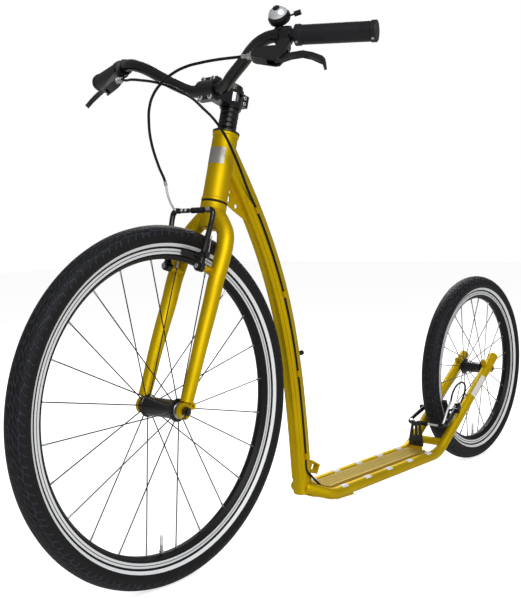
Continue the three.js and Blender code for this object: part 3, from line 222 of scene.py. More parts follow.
# %% Anodised and lacquered blacks
def blasted(name, dark, light, metallic, roughness, grit, depth, specular=0.5):
    material, shader, place = start_material(
        name, Metallic=metallic, Roughness=roughness, Specular_IOR_Level=specular)
    pits = add(material, "TexNoise", {"Vector": place, "Scale": 1 / (grit * mm), "Detail": 3})
    shade = add(material, "Mix", {
        "Factor": pits.outputs["Fac"], "A": colour(dark), "B": colour(light)}, data_type="RGBA")
    link(material, shade.outputs["Result"], shader, "Base Color")
    sheen = add(material, "MapRange", {
        "Value": pits.outputs["Fac"], "To Min": roughness - 0.07, "To Max": roughness + 0.07})
    link(material, sheen.outputs["Result"], shader, "Roughness")
    grain = add(material, "Bump", {
        "Height": pits.outputs["Fac"], "Strength": 0.25, "Distance": depth * mm})
    link(material, grain.outputs["Normal"], shader, "Normal")
    return material


anodised = blasted("black_anodised_aluminium", 0x050507, 0x101015, 0, 0.27, 0.8, 0.05)
rim_black = blasted("black_anodised_rim", 0x050506, 0x0D0D0E, 0, 0.5, 1.5, 0.03, 0.25)
lacquered = blasted("black_lacquered_steel", 0x08080A, 0x121214, 0.1, 0.3, 2.5, 0.03)
plank_finish = blasted("worn_plank_enamel", 0xA88C28, 0xCDB55A, 0.5, 0.5, 1.2, 0.08)
print("blacks", anodised.name, rim_black.name, lacquered.name)

# %% [markdown]
# Bright parts are aluminium or steel. The brake track of a rim is turned on a lathe, which leaves
# fine rings. The bell, the noodles and the stem's screws are plated bright, and the nipples, the
# cable ends and the small screws are zinc plated and duller. The rings are drawn 0.9 mm apart,
# coarser than the real ones, so that they show.

# %% Bright metals
def bright(name, dark, light, roughness, grain, metallic=0.9):
    material, shader, place = start_material(name, Metallic=metallic, Roughness=roughness)
    cloud = add(material, "TexNoise", {"Vector": place, "Scale": 1 / (grain * mm), "Detail": 4})
    shade = add(material, "Mix", {
        "Factor": cloud.outputs["Fac"], "A": colour(dark), "B": colour(light)}, data_type="RGBA")
    link(material, shade.outputs["Result"], shader, "Base Color")
    dull = add(material, "MapRange", {
        "Value": cloud.outputs["Fac"], "To Min": roughness - 0.08, "To Max": roughness + 0.1})
    link(material, dull.outputs["Result"], shader, "Roughness")
    return material


zinc = bright("zinc_plated_steel", 0x9C9EA2, 0xCFD1D4, 0.32, 5)
plated = bright("nickel_plated_brass", 0xD2D4D6, 0xF2F3F4, 0.3, 12, 0.6)
stainless = bright("stainless_spoke_wire", 0x4A4B4E, 0x85878A, 0.28, 3)


def turned_track(name, centre):
    material, shader, place = start_material(name, Metallic=0.35, Roughness=0.36)
    moved = add(material, "Mapping", {"Vector": place, "Location": -centre})
    parts = add(material, "SeparateXYZ", {"Vector": moved.outputs["Vector"]})
    flat = add(material, "CombineXYZ", {"X": parts.outputs["X"], "Z": parts.outputs["Z"]})
    radius = add(material, "VectorMath", {"Vector": flat.outputs["Vector"]}, operation="LENGTH")
    turns = add(material, "Math", {0: radius.outputs["Value"], 1: 2 * math.pi / (0.9 * mm)},
                operation="MULTIPLY")
    rings = add(material, "Math", {0: turns.outputs["Value"]}, operation="SINE")
    shade = add(material, "MapRange", {"Value": rings.outputs["Value"], "From Min": -1})
    metal = add(material, "Mix", {
        "Factor": shade.outputs["Result"], "A": colour(0xD2D4D7), "B": colour(0xF8F9FA)},
        data_type="RGBA")
    link(material, metal.outputs["Result"], shader, "Base Color")
    groove = add(material, "Bump", {
        "Height": rings.outputs["Value"], "Strength": 0.2, "Distance": 0.04 * mm})
    link(material, groove.outputs["Normal"], shader, "Normal")
    return material


front_track = turned_track("turned_brake_track_front", front_axle)
rear_track = turned_track("turned_brake_track_rear", rear_axle)
print("bright", zinc.name, plated.name, stainless.name)

# %% [markdown]
# Rubber is moulded. Grips, boots and pads differ in tone and in the grain of their moulds. Cable
# housings and the bell's base are plastic: smoother, with a soft shine. Three thin bright sheets
# are made the same way: the woven band of the tyres, the foil on the rails and a plain badge.

# %% Rubber and plastic
grip_rubber = blasted("soft_grip_rubber", 0x0C0D11, 0x17181D, 0, 0.5, 1.6, 0.1, 0.35)
boot_rubber = blasted("moulded_boot_rubber", 0x08080A, 0x121214, 0, 0.65, 1.0, 0.05, 0.3)
pad_rubber = blasted("brake_pad_compound", 0x0D0D0E, 0x1D1D1F, 0, 0.85, 1.2, 0.12)
housing = blasted("cable_housing_plastic", 0x040405, 0x0A0A0B, 0, 0.3, 4.0, 0.02, 0.25)
shell_plastic = blasted("moulded_black_plastic", 0x08080A, 0x131315, 0, 0.38, 1.4, 0.04, 0.35)
reflective = blasted("woven_reflective_tape", 0xDEE0E3, 0xF4F5F7, 0.1, 0.45, 1.0, 0.04)
foil = blasted("brushed_foil_plate", 0xD0D0D2, 0xF2F2F3, 0.1, 0.45, 2.0, 0.03)
badge = blasted("brushed_aluminium_badge", 0x8A8884, 0xB4B1AC, 0.6, 0.4, 1.5, 0.03)
print("rubbers and plastics done")

# %% [markdown]
# A tyre is moulded rubber. Its tread is cut into small scales, and the lines between the scales are
# painted paler, a painted highlight for the sheen on the scales' edges. Its sidewall is plain. The
# pattern follows the wheel: the angle round the axle counts the scales and the distance from the
# middle slants them, so that the two sides meet in a V.

# %% Tyre rubber
def tyre_rubber(name, centre, radius, grooves):
    material, shader, place = start_material(name, Roughness=0.6, Specular_IOR_Level=0.3)
    moved = add(material, "Mapping", {"Vector": place, "Location": -centre})
    parts = add(material, "SeparateXYZ", {"Vector": moved.outputs["Vector"]})
    angle = add(material, "Math", {
        0: parts.outputs["Z"], 1: parts.outputs["X"]}, operation="ARCTAN2")
    aside = add(material, "Math", {0: parts.outputs["Y"]}, operation="ABSOLUTE")
    flat = add(material, "CombineXYZ", {"X": parts.outputs["X"], "Z": parts.outputs["Z"]})
    out = add(material, "VectorMath", {"Vector": flat.outputs["Vector"]}, operation="LENGTH")
    slant = add(material, "Math", {
        0: aside.outputs["Value"], 1: 1.3 / (9 * mm)}, operation="MULTIPLY")
    count = add(material, "Math", {
        0: angle.outputs["Value"], 1: grooves / (2 * math.pi), 2: slant.outputs["Value"]},
        operation="MULTIPLY_ADD")
    rows = add(material, "Math", {0: aside.outputs["Value"], 1: 1 / (7 * mm)}, operation="MULTIPLY")
    blocks = add(material, "CombineXYZ", {"X": count.outputs["Value"], "Y": rows.outputs["Value"]})
    cells = add(material, "TexVoronoi", {
        "Vector": blocks.outputs["Vector"], "Scale": 1, "Randomness": 0.5},
        voronoi_dimensions="2D", feature="DISTANCE_TO_EDGE")
    block = add(material, "MapRange", {
        "Value": cells.outputs["Distance"], "From Min": 0.02, "From Max": 0.17},
        interpolation_type="SMOOTHSTEP")
    tread = add(material, "MapRange", {
        "Value": out.outputs["Value"], "From Min": radius - 19 * mm, "From Max": radius - 15 * mm})
    open_block = add(material, "Math", {0: 1, 1: block.outputs["Result"]}, operation="SUBTRACT")
    depth = add(material, "Math", {
        0: tread.outputs["Result"], 1: open_block.outputs["Value"]}, operation="MULTIPLY")
    height = add(material, "Math", {0: 1, 1: depth.outputs["Value"]}, operation="SUBTRACT")
    # The paler colour A on the lines between the scales is a painted highlight for the sheen on the
    # scales' edges; the dark colour B is the rubber's own.
    shade = add(material, "Mix", {
        "Factor": height.outputs["Value"], "A": colour(0x2A2D37), "B": colour(0x09090C)},
        data_type="RGBA")
    link(material, shade.outputs["Result"], shader, "Base Color")
    bump = add(material, "Bump", {"Height": height.outputs["Value"], "Strength": 1,
                                  "Distance": 1.6 * mm})
    link(material, bump.outputs["Normal"], shader, "Normal")
    return material


front_scales, rear_scales = 124, 95
front_rubber = tyre_rubber("front_tyre_rubber", front_axle, front_radius * mm, front_scales)
rear_rubber = tyre_rubber("rear_tyre_rubber", rear_axle, rear_radius * mm, rear_scales)
print("tread scales round the tyres", front_scales, "and", rear_scales)

# %% [markdown]
# Shapes are built in a bmesh. A turned part is a profile spun about its axis, a bar is a cone with
# two radii, and a bent tube is a curve with a round section. Each helper adds to a shape that is
# under way, so that one piece can hold several forms and finishes. A piece rides on one body,
# except a cable's housing, which is left where it lies and is attached to no body.

# %% Shape helpers
def along_axis(origin, axis):
    return Matrix.Translation(origin) @ axis.to_track_quat("Z", "Y").to_matrix().to_4x4()


def spin_into(shape, profile, origin, axis, steps=48, index=0, closed=True):
    part = bmesh.new()
    points = [part.verts.new((r * mm, 0, a * mm)) for r, a in profile]
    edges = [part.edges.new(pair) for pair in zip(points, points[1:])]
    if closed:
        edges.append(part.edges.new((points[-1], points[0])))
    bmesh.ops.spin(part, geom=points + edges, cent=(0, 0, 0), axis=(0, 0, 1),
                   angle=2 * math.pi, steps=steps, use_merge=True)
    bmesh.ops.remove_doubles(part, verts=part.verts, dist=1e-7)
    bmesh.ops.recalc_face_normals(part, faces=part.faces)
    bmesh.ops.transform(part, matrix=along_axis(origin, axis), verts=part.verts)
    pour(part, shape, index)


def pour(part, shape, index):
    for face in part.faces:
        face.material_index = index
    carrier = bpy.data.meshes.new("carrier")
    part.to_mesh(carrier)
    part.free()
    shape.from_mesh(carrier)
    bpy.data.meshes.remove(carrier)


def rod_into(shape, start, end, radius, sides=24, index=0, end_radius=None):
    part = bmesh.new()
    tip = radius if end_radius is None else end_radius
    bmesh.ops.create_cone(part, cap_ends=True, segments=sides, radius1=radius * mm,
                          radius2=tip * mm, depth=(end - start).length,
                          matrix=along_axis((start + end) / 2, (end - start).normalized()))
    pour(part, shape, index)


def tube_into(shape, knots, radii, index=0, resolution=12):
    line = bpy.data.curves.new("line", "CURVE")
    line.dimensions = "3D"
    line.bevel_depth = 1
    line.bevel_resolution = 6
    line.use_fill_caps = True
    line.resolution_u = resolution
    spline = line.splines.new("BEZIER")
    spline.bezier_points.add(len(knots) - 1)
    for point, knot, radius in zip(spline.bezier_points, knots, radii):
        point.radius = radius * mm
        if isinstance(knot, Vector):
            point.co = knot
            point.handle_left_type = point.handle_right_type = "AUTO"
        else:
            point.handle_left_type = point.handle_right_type = "FREE"
            point.handle_left, point.co, point.handle_right = knot
    holder = bpy.data.objects.new("holder", line)
    bpy.context.scene.collection.objects.link(holder)
    bpy.context.view_layer.update()
    ready = holder.evaluated_get(bpy.context.evaluated_depsgraph_get())
    part = bmesh.new()
    part.from_mesh(bpy.data.meshes.new_from_object(ready))
    bpy.data.objects.remove(holder)
    bmesh.ops.remove_doubles(part, verts=part.verts, dist=1e-7)
    bmesh.ops.recalc_face_normals(part, faces=part.faces)
    pour(part, shape, index)


def make_piece(name, shape, finishes, body, nodes=(), crease=38, edge=0, bend=None):
    for line in shape.edges:
        line.smooth = len(line.link_faces) == 2 and line.calc_face_angle(0) < math.radians(crease)
    for face in shape.faces:
        face.smooth = True
    data = bpy.data.meshes.new(name)
    shape.to_mesh(data)
    shape.free()
    for finish in finishes:
        data.materials.append(finish)
    piece = bpy.data.objects.new(name, data)
    bpy.context.scene.collection.objects.link(piece)
    if edge:
        rounding = piece.modifiers.new("soft edges", "BEVEL")
        rounding.width = edge * mm
        rounding.segments = 2
        rounding.limit_method = "ANGLE"
        rounding.angle_limit = math.radians(45)
    if bend:
        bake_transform(piece)
    else:
        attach(piece, body)
    if nodes:
        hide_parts(*nodes)
    return piece


print("helpers ready")

# %% [markdown]
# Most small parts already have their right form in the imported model, but with hard edges and flat
# facets. A copy is merged, its curved faces are shaded smooth and its real edges are rounded a
# little, as a cast or machined part's are, so that they catch the light. Some copies are reshaped
# first by moving their points, which is quicker than building them anew: the plank and the gusset
# are slimmer, the gusset's holes are wider, the foot plate's toe rises and the rear nuts are
# shorter. The front halves of the rails are cut away, since smooth tubes take their place below.

# %% Finished copies of the small parts
def finished_copy(node, finish, edge=0.4, crease=40, reshape=None):
    shape = bmesh.new()
    shape.from_mesh(frame["nodes"][node].data)
    if reshape:
        reshape(shape)
    bmesh.ops.remove_doubles(shape, verts=shape.verts, dist=1e-5)
    bmesh.ops.dissolve_limit(shape, angle_limit=math.radians(1), verts=shape.verts,
                             edges=shape.edges)
    return make_piece(node + "_finished", shape, [finish], body_of[node], [node], crease, edge)


def narrow_plank(shape):
    plank_half_width, narrowing = 29.2, 0.86
    for vert in shape.verts:
        if abs(vert.co.y) < plank_half_width * mm:
            vert.co.y *= narrowing


def thin_gusset(shape):
    thinning = 0.55
    holes = ((-35, 30, 3), (-34, 15.2, 7.4), (-58, 8.7, 4.6))
    for vert in shape.verts:
        vert.co.y *= thinning
        spot = vert.co - head_foot
        x, z = spot.dot(steer_forward) / mm, spot.dot(steer_up) / mm
        for middle_x, middle_z, hole_reach in holes:
            if math.hypot(x - middle_x, z - middle_z) < hole_reach:
                vert.co += (steer_forward * (x - middle_x) * 0.4
                            + steer_up * (z - middle_z) * 0.15) * mm


def raised_toe(shape):
    for vert in shape.verts:
        ahead_of_heel = (vert.co.x - bike(694, 0, 0).x) / (54 * mm)
        if ahead_of_heel > 0:
            wide = abs(vert.co.y) / (50 * mm)
            vert.co.x -= 22 * mm * max(0, wide - 0.5) * 2
            vert.co.y *= 1 - 0.3 * ahead_of_heel
            vert.co.z += 18 * mm * max(0, ahead_of_heel - 0.4 * wide)


def cut_toe(shape):
    everything = shape.verts[:] + shape.edges[:] + shape.faces[:]
    cut = bmesh.ops.bisect_plane(shape, geom=everything, plane_co=bike(400, 0, 0),
                                 plane_no=(1, 0, 0), clear_outer=True)
    rim_edges = [item for item in cut["geom_cut"] if isinstance(item, bmesh.types.BMEdge)]
    bmesh.ops.holes_fill(shape, edges=rim_edges)


def short_nuts(shape):
    nut_end = 55 * mm
    for vert in shape.verts:
        vert.co.y = max(-nut_end, min(nut_end, vert.co.y))


def small_dropout(shape):
    cut_toe(shape)
    outer_face, shrinking = 49.5, 0.66
    for vert in shape.verts:
        spot = vert.co - rear_axle
        on_edge = 14.3 < math.hypot(spot.x, spot.z) / mm < 15.4
        if on_edge and abs(vert.co.y) > outer_face * mm:
            vert.co.x = rear_axle.x + spot.x * shrinking
            vert.co.z = rear_axle.z + spot.z * shrinking


for node in ["main_tube", "stay_bridge", "heel_plate", "lock_loop",
             "fork_leg_left", "fork_leg_right"]:
    finished_copy(node, enamel, 0.35)
finished_copy("head_gusset", enamel, 0.35, reshape=thin_gusset)
finished_copy("foot_plate", enamel, 0.35, reshape=raised_toe)
finished_copy("deck_plank", plank_finish, 0.35, reshape=narrow_plank)
for node in ["deck_rail_left", "deck_rail_right"]:
    finished_copy(node, enamel, 0.35, reshape=small_dropout)
for node in ["heel_bracket", "stem_body", "stem_faceplate", "lever_bracket_left",
             "lever_bracket_right"]:
    finished_copy(node, anodised, 0.5)
for node in ["brake_lever_left", "brake_lever_right"]:
    finished_copy(node, anodised, 1.2)
finished_copy("front_axle", lacquered, 0.3)
finished_copy("rear_axle", lacquered, 0.3, reshape=short_nuts)
finished_copy("upper_bearing", zinc, 0.3)
for node in ["front_pad_left", "front_pad_right", "rear_pad_left", "rear_pad_right"]:
    finished_copy(node, pad_rubber, 0.8)
for node in ["bell_base", "bell_striker"]:
    finished_copy(node, shell_plastic, 0.4)
finished_copy("tube_plug", boot_rubber, 0.5)

# %% [markdown]
# A tyre's section is a horseshoe: two beads inside the rim's flanges, a thin wall and a thicker
# crown. It is spun round the axle in fine steps. A narrow reflective band is woven into each
# sidewall near the rim, which is why that part of the profile has a finish of its own.

# %% Tyres
def tyre(name, centre, radius, bead, rubber):
    flange = bead + 6.3
    rise = radius - flange
    wall = [[0, 12.5], [0.06, 14.4], [0.1, 15.6], [0.2, 18.4], [0.3, 20.5], [0.4, 21.8],
            [0.5, 22.5], [0.62, 22.1], [0.74, 20.3], [0.84, 17.2], [0.92, 12.6], [0.975, 6.8]]
    outside = [[bead + 0.3, 10.4], [flange, 10.4]] + [[flange + s * rise, a] for s, a in wall]
    hollow_rise = rise - 5
    inside = [[bead + 0.3, 6.9], [flange + 0.4 * hollow_rise, 19],
              [flange + 0.78 * hollow_rise, 13.7]]
    left = outside + [[radius - 0.01, 0]]
    right_side = [[r, -a] for r, a in reversed(outside)]
    hollow = [[r, -a] for r, a in inside] + [[radius - 5, 0]] + [list(p) for p in reversed(inside)]
    shape = bmesh.new()
    spin_into(shape, left + right_side + hollow, centre, leftward, steps=180)
    low, high = flange + 0.06 * rise, flange + 0.2 * rise
    for face in shape.faces:
        spot = face.calc_center_median() - centre
        out = math.hypot(spot.x, spot.z) / mm
        if low < out < high and abs(spot.y) > 14.3 * mm:
            face.material_index = 1
    make_piece(name + "_tyre_rubber", shape, [rubber, reflective], body_of[name + "_tyre"],
               [name + "_tyre"], crease=50)


tyre("front", front_axle, front_radius, front_bead, front_rubber)
tyre("rear", rear_axle, rear_radius, rear_bead, rear_rubber)
print("tyres", round(front_radius * 2), "and", round(rear_radius * 2), "mm across")

# %% [markdown]
# The rim is an extruded aluminium hoop with a V section. It is anodised black, and then the two
# flat sides that the pads press on are turned bright. A groove in each shows how far it is worn.
# The valve stands in it on the inner side.

# %% Rims and valves
spoke_count = 24
rim_depth = 14
front_phase, rear_phase = -0.1976, -0.1613


def spoke_direction(phase, k):
    angle = phase - k * 2 * math.pi / spoke_count
    return Vector((-math.cos(angle), 0, math.sin(angle)))


def rim(name, centre, bead, phase, track):
    outer, inner = bead + 6, bead - rim_depth
    half = [[inner, 4.3], [inner + 1, 5.5], [outer - 14, 11.9], [outer - 13, 12.35],
            [outer - 10.6, 12.35], [outer - 10.4, 12.5], [outer - 6.5, 12.5], [outer - 6.3, 12],
            [outer - 5.4, 12], [outer - 5.2, 12.5], [outer - 1.2, 12.5], [outer - 0.6, 12.1],
            [outer, 12.1], [outer, 10.7], [bead, 10.7], [bead - 4, 6]]
    profile = half + [[r, -a] for r, a in reversed(half)]
    shape = bmesh.new()
    spin_into(shape, profile, centre, leftward, steps=180)
    for face in shape.faces:
        spot = face.calc_center_median() - centre
        if abs(spot.y) > 12.4 * mm:
            face.material_index = 1
    between_spokes = 5.5
    out = spoke_direction(phase, between_spokes)
    at = lambda r: centre + out * r * mm
    rod_into(shape, at(inner + 2), at(inner - 16), 2.9, index=2)
    rod_into(shape, at(inner - 2), at(inner - 5), 4.6, sides=6, index=2)
    rod_into(shape, at(inner - 16), at(inner - 30), 3, index=3)
    rod_into(shape, at(inner - 30), at(inner - 34), 3, index=3, end_radius=1.4)
    make_piece(name + "_rim_hoop", shape, [rim_black, track, zinc, foil],
               body_of[name + "_rim"], [name + "_rim"], crease=25)


rim("front", front_axle, front_bead, front_phase, front_track)
rim("rear", rear_axle, rear_bead, rear_phase, rear_track)
print("rims with valves")

# %% [markdown]
# A hub is a turned shell with two flanges, and 24 wire spokes run from them to the rim, each
# ending in a nipple. The front wire is black and the rear wire is plain stainless steel. The
# front hub's left end shows a bright ring.

# %% Hubs and spokes
def hub(name, centre, bead, phase, flange, barrel, wire):
    half = [[5.4, 44], [8.6, 44], [10, 43], [10, flange + 4], [12, flange + 2.4],
            [19.6, flange + 1.75], [21, flange + 0.9], [21, flange - 0.9], [19.6, flange - 1.75],
            [barrel + 1.4, flange - 4], [barrel, flange - 8]]
    shape = bmesh.new()
    spin_into(shape, half + [[r, -a] for r, a in reversed(half)], centre, leftward, steps=64)
    ring = [[9.8, 44], [14.6, 43.6], [15, 43.2], [15, 41.4], [9.8, 41.4]]
    spin_into(shape, ring, centre, leftward, steps=64, index=2 if name == "front" else 0)
    rim_inside = bead - rim_depth
    for k in range(spoke_count):
        side = 1 if k % 2 else -1
        out = spoke_direction(phase, k)
        foot = centre + out * 17.5 * mm + leftward * side * flange * mm
        tip = centre + out * (rim_inside + 0.8) * mm + leftward * side * 1.5 * mm
        along = (tip - foot).normalized()
        rod_into(shape, foot, tip - along * 4 * mm, 1.1, sides=10, index=1)
        rod_into(shape, tip - along * 13 * mm, tip, 1.75, sides=8, index=3)
        rod_into(shape, foot + leftward * side * 1.9 * mm, foot + leftward * side * 3.1 * mm, 2,
                 sides=10, index=1)
    make_piece(name + "_hub_and_spokes", shape, [anodised, wire, zinc, zinc],
               body_of[name + "_hub"], [name + "_hub"], crease=35)


hub("front", front_axle, front_bead, front_phase, 38, 17, lacquered)
hub("rear", rear_axle, rear_bead, rear_phase, 27, 14, stainless)
print("spokes in each wheel", spoke_count)

# %% [markdown]
# The rails are round aluminium tube, bent twice: they leave the foot of the main tube, run level
# under the deck and rise to the rear axle as stays. An arc drawn as a curve needs handles of four
# thirds of the tangent of a quarter of its angle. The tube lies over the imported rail's facets,
# whose dropouts, boss and eyelet still show. Its front end tapers towards the main tube.

# %% Smooth rails and stays
def bent_knots(corners, radii):
    knots = [(corners[0], corners[0], corners[0])]
    for before, corner, after, radius in zip(corners, corners[1:], corners[2:], radii):
        back, on = (before - corner).normalized(), (after - corner).normalized()
        half = back.angle(on) / 2
        trim = radius * mm / math.tan(half)
        reach = 4 / 3 * math.tan((math.pi - 2 * half) / 4) * radius * mm
        start, end = corner + back * trim, corner + on * trim
        knots.append((start, start, start - back * reach))
        knots.append((end - on * reach, end, end))
    knots.append((corners[-1], corners[-1], corners[-1]))
    return knots


rail_aside = 43.5
rail_height = 68
rail_radius = 12.36
rail_over_axle = 7.8
bend_radii = [45, 88]
stay_slope = math.radians(35.5)
stay_down = Vector((math.cos(stay_slope), 0, -math.sin(stay_slope)))
stay_up = Vector((math.sin(stay_slope), 0, math.cos(stay_slope)))


def stay(down, y, out):
    return rear_axle + (stay_down * down + leftward * y + stay_up * out) * mm


stay_run = (rear_radius + rail_over_axle * stay_up.z - rail_height) / -stay_down.z
for side, name in ((1, "left"), (-1, "right")):
    corners = [bike(762, side * 14, 89.5), bike(712, side * rail_aside, rail_height),
               stay(stay_run, side * rail_aside, rail_over_axle),
               stay(16.5, side * rail_aside, rail_over_axle)]
    knots = bent_knots(corners, bend_radii)
    shape = bmesh.new()
    tube_into(shape, knots, [rail_radius] * len(knots))
    toe = (corners[0] - corners[1]).normalized()
    shoulder, tip = corners[0] + toe * 3.5 * mm, corners[0] + toe * 5.5 * mm
    rod_into(shape, corners[0], shoulder, rail_radius, sides=48, end_radius=10.4)
    rod_into(shape, shoulder, tip, 10.4, sides=48, end_radius=7)
    tail = [stay(down, side * rail_aside, rail_over_axle) for down in (-16.5, -40.6, -42.1)]
    rod_into(shape, tail[0], tail[1], rail_radius, sides=48)
    rod_into(shape, tail[1], tail[2], rail_radius, sides=48, end_radius=10.8)
    make_piece("rail_tube_" + name, shape, [enamel], "frame")
print("stay length", round(stay_run), "mm")

# %% [markdown]
# The main tube stands in a cup, and the front ends of the rails are boxed in down to the foot
# plate. The cup is a short oval cone. The box is the convex hull of a few corners and their mirror
# images, which suits a plain closed form. Both have well rounded edges, as a weld that was ground
# smooth has.

# %% Cup and box at the foot of the main tube
cup_middle, cup_foot, cup_top = 757.5, 75, 101
cup_half_length, cup_half_width = 22.6, 18.2
shape = bmesh.new()
rod_into(shape, bike(cup_middle, 0, cup_foot), bike(cup_middle, 0, cup_top), 1, sides=56,
         end_radius=0.95)
cup_centre = bike(cup_middle, 0, 0)
for vert in shape.verts:
    vert.co.x = cup_centre.x + (vert.co.x - cup_centre.x) * cup_half_length
    vert.co.y *= cup_half_width
make_piece("foot_cup", shape, [enamel], "frame", edge=2.5)
box = [(744, 17, 72), (694, 48.5, 54.5), (642, 48.5, 54.5), (766, 11, 84), (742, 24, 79),
       (716, 44, 70), (642, 46, 62)]
shape = bmesh.new()
for x, y, z in box:
    shape.verts.new(bike(x, y, z))
    shape.verts.new(bike(x, -y, z))
hull = bmesh.ops.convex_hull(shape, input=shape.verts)
spare = [item for item in hull["geom_interior"] if isinstance(item, bmesh.types.BMVert)]
bmesh.ops.delete(shape, geom=spare, context="VERTS")
bmesh.ops.dissolve_limit(shape, angle_limit=math.radians(2), verts=shape.verts, edges=shape.edges)
bmesh.ops.recalc_face_normals(shape, faces=shape.faces)
make_piece("foot_box", shape, [enamel], "frame", edge=2)
print("foot box corners", 2 * len(box))

# %% [markdown]
# Each fork leg is a tube drawn to a taper and bent in one sweep from the crown to the dropout.
# The same curve with a radius at every point follows it.

# %% Smooth fork legs
leg_line = [(0, 12, -24), (1, 30, -42), (3, 45, -62), (6, 51.5, -85), (10.3, 53, -122),
            (15.3, 53.5, -151), (19.7, 53.8, -200), (25.7, 54.7, -248), (30.8, 55.4, -294),
            (35, 55, -345), (38.5, 55, -377)]
leg_radii = [15.5, 15.5, 15.5, 15.5, 15.3, 15, 14.4, 13.6, 12.8, 12, 11.5]
for side, name in ((1, "left"), (-1, "right")):
    shape = bmesh.new()
    tube_into(shape, [steer(x, side * y, z) for x, y, z in leg_line],
              [radius + 0.06 for radius in leg_radii])
    make_piece("leg_tube_" + name, shape, [enamel], "steered")
print("leg radii", leg_radii[0], "to", leg_radii[-1], "mm")

# %% [markdown]
# The head tube, crown, headset cover, spacers and cap are all turned about the steering axis, so
# each is one profile. The head tube has a lip at each end where the bearings are pressed in. The
# crown is enamelled, and the steerer above it is plated.

# %% Parts turned about the steering axis
def steer_turned(name, profile, finish, nodes, zinc_from=math.inf):
    shape = bmesh.new()
    closed = profile[0][0] > 0
    spin_into(shape, profile, head_foot, steer_up, steps=64, closed=closed)
    for face in shape.faces:
        if (face.calc_center_median() - head_foot).dot(steer_up) > zinc_from * mm:
            face.material_index = 1
    make_piece(name, shape, [finish, zinc], body_of[nodes[0]], nodes, crease=30)


lip = [[18.6, 0], [24.4, 0], [25, 0.6], [25, 4.6], [23.5, 6.2]]
steer_turned("head_tube_shell", lip + [[r, head_length - a] for r, a in reversed(lip)], enamel,
             ["head_tube"])
steer_turned("crown_and_steerer", [
    [0, -52], [15, -52], [17.6, -50.6], [19, -47], [19, -24], [20.6, -20.4], [24.2, -16],
    [24.6, -15], [24.6, -4.4], [24, -3.8], [14.3, -3.8], [14.3, 215], [0, 215]], enamel,
    ["fork_crown"], zinc_from=-2)
steer_turned("seal_ring", [[14.8, -3.5], [24, -3.5], [24.4, -3.1], [24.4, -0.7], [24, -0.3],
                           [18.3, -0.3], [18.3, 9], [14.8, 9]], boot_rubber, ["lower_bearing"])
steer_turned("headset_cap", [[14.7, 131.6], [25.2, 131.6], [25.6, 132], [25.6, 134.6],
                             [25.2, 135], [19.6, 135.2], [17.8, 141], [14.7, 141]], anodised,
             ["headset_cover"])
spacer_count, spacer_foot, stem_foot, spacer_gap = 4, 141, 179.3, 0.3
pitch_of_spacers = (stem_foot - spacer_foot) / spacer_count
for index in range(spacer_count):
    low = spacer_foot + index * pitch_of_spacers + spacer_gap
    high = low + pitch_of_spacers - spacer_gap
    steer_turned(f"spacer_ring_{index + 1}", [
        [14.7, low], [16.2, low], [17.6, low + 1.5], [17.6, high - 1.5], [16.2, high],
        [14.7, high]], anodised, [f"spacer_{index + 1}"])
steer_turned("stem_cap", [[0, 217.3], [16.4, 217.3], [17.6, 218.8], [17.6, 223], [17, 224.4],
                          [14, 226.8], [5, 226.8], [4, 225.3], [0, 225.3]], anodised,
             ["stem_top_cap"])
print("spacer pitch", round(pitch_of_spacers, 2), "mm")

# %% [markdown]
# The bar is one aluminium tube, thicker where the stem grips it, that rises and then bends back
# to the grips. Its line is mirrored to the right.

# %% Handlebar
bar_line = [(1008.5, 0, 893.6), (1008.5, 23, 893.6), (1013, 42, 896.5), (1024, 70, 909),
            (1033, 110, 931), (1040, 135, 945), (1044.5, 160, 954.5), (1043.5, 178, 958),
            (1039.5, 191, 958.3), (1034, 205, 957.4), (979.7, 342.7, 951.2)]
clamp_ahead, clamp_height = 61, 195
seat = steer(clamp_ahead, 0, clamp_height) - bike(*bar_line[0])
left_bar = [bike(*p) + (seat if i < 2 else Vector()) for i, p in enumerate(bar_line)]
bar_knots = [on_side(-1, p) for p in reversed(left_bar[1:])] + left_bar
bar_half = [12.7, 12.7] + [11.1] * (len(bar_line) - 2)
shape = bmesh.new()
tube_into(shape, bar_knots, bar_half[:0:-1] + bar_half)
make_piece("bar_tube", shape, [anodised], "steered", ["handlebar"])
print("bar knots", len(bar_knots))

# %% [markdown]
# A grip is a rubber sleeve with a collar at each end, closed at the outer end. Shallow rings run
# round it. The screws of its clamp are bright.

# %% Grips
grip_start = bike(1034, 205, 957.4)
grip_end = bike(978, 347, 951)
bar_axis = (grip_end - grip_start).normalized()
grip_length = (grip_end - grip_start).length / mm
lever_way = Vector((0.614, 0.21, -0.762))
lever_way = (lever_way - bar_axis * lever_way.dot(bar_axis)).normalized()


def grip(side, name):
    axis = on_side(side, bar_axis)
    end = grip_length
    rib_count, rib_margin = 27, 28
    ribs = []
    for k in range(rib_count):
        spot = rib_margin + k * (end - 2 * rib_margin) / (rib_count - 1)
        ribs += [[16.3, spot], [16.12, spot + 0.9], [16.12, spot + 1.8], [16.3, spot + 2.7]]
    sleeve = [[11.5, 16], [17.2, 16], [17.6, 16.5], [17.6, 24.5], [17.2, 25], [16.3, 25.6]]
    tail = [[16.3, end - 9.8], [17.2, end - 9], [17.6, end - 8.5], [17.6, end - 1.4], [16.6, end],
            [0, end], [0, end - 4], [11.5, end - 4]]
    shape = bmesh.new()
    spin_into(shape, sleeve + ribs + tail, on_side(side, grip_start), axis, steps=56)
    across = on_side(side, lever_way)
    for distance in (20.5, end - 4.6):
        spot = on_side(side, grip_start) + axis * distance * mm
        rod_into(shape, spot + across * 16 * mm, spot + across * 18 * mm, 2.6, index=1)
    make_piece("grip_sleeve_" + name, shape, [grip_rubber, zinc], "steered", ["grip_" + name],
               crease=30)


grip(1, "left")
grip(-1, "right")
print("grip length", round(grip_length - 16), "mm")

# %% [markdown]
# The lever's barrel adjuster is a knurled bright screw on the cable's end. The bell has a plated
# dome with a black skirt and a black cap.

# %% Barrel adjusters and bell
adjuster_aside = 47.6
adjuster_end = 59.5


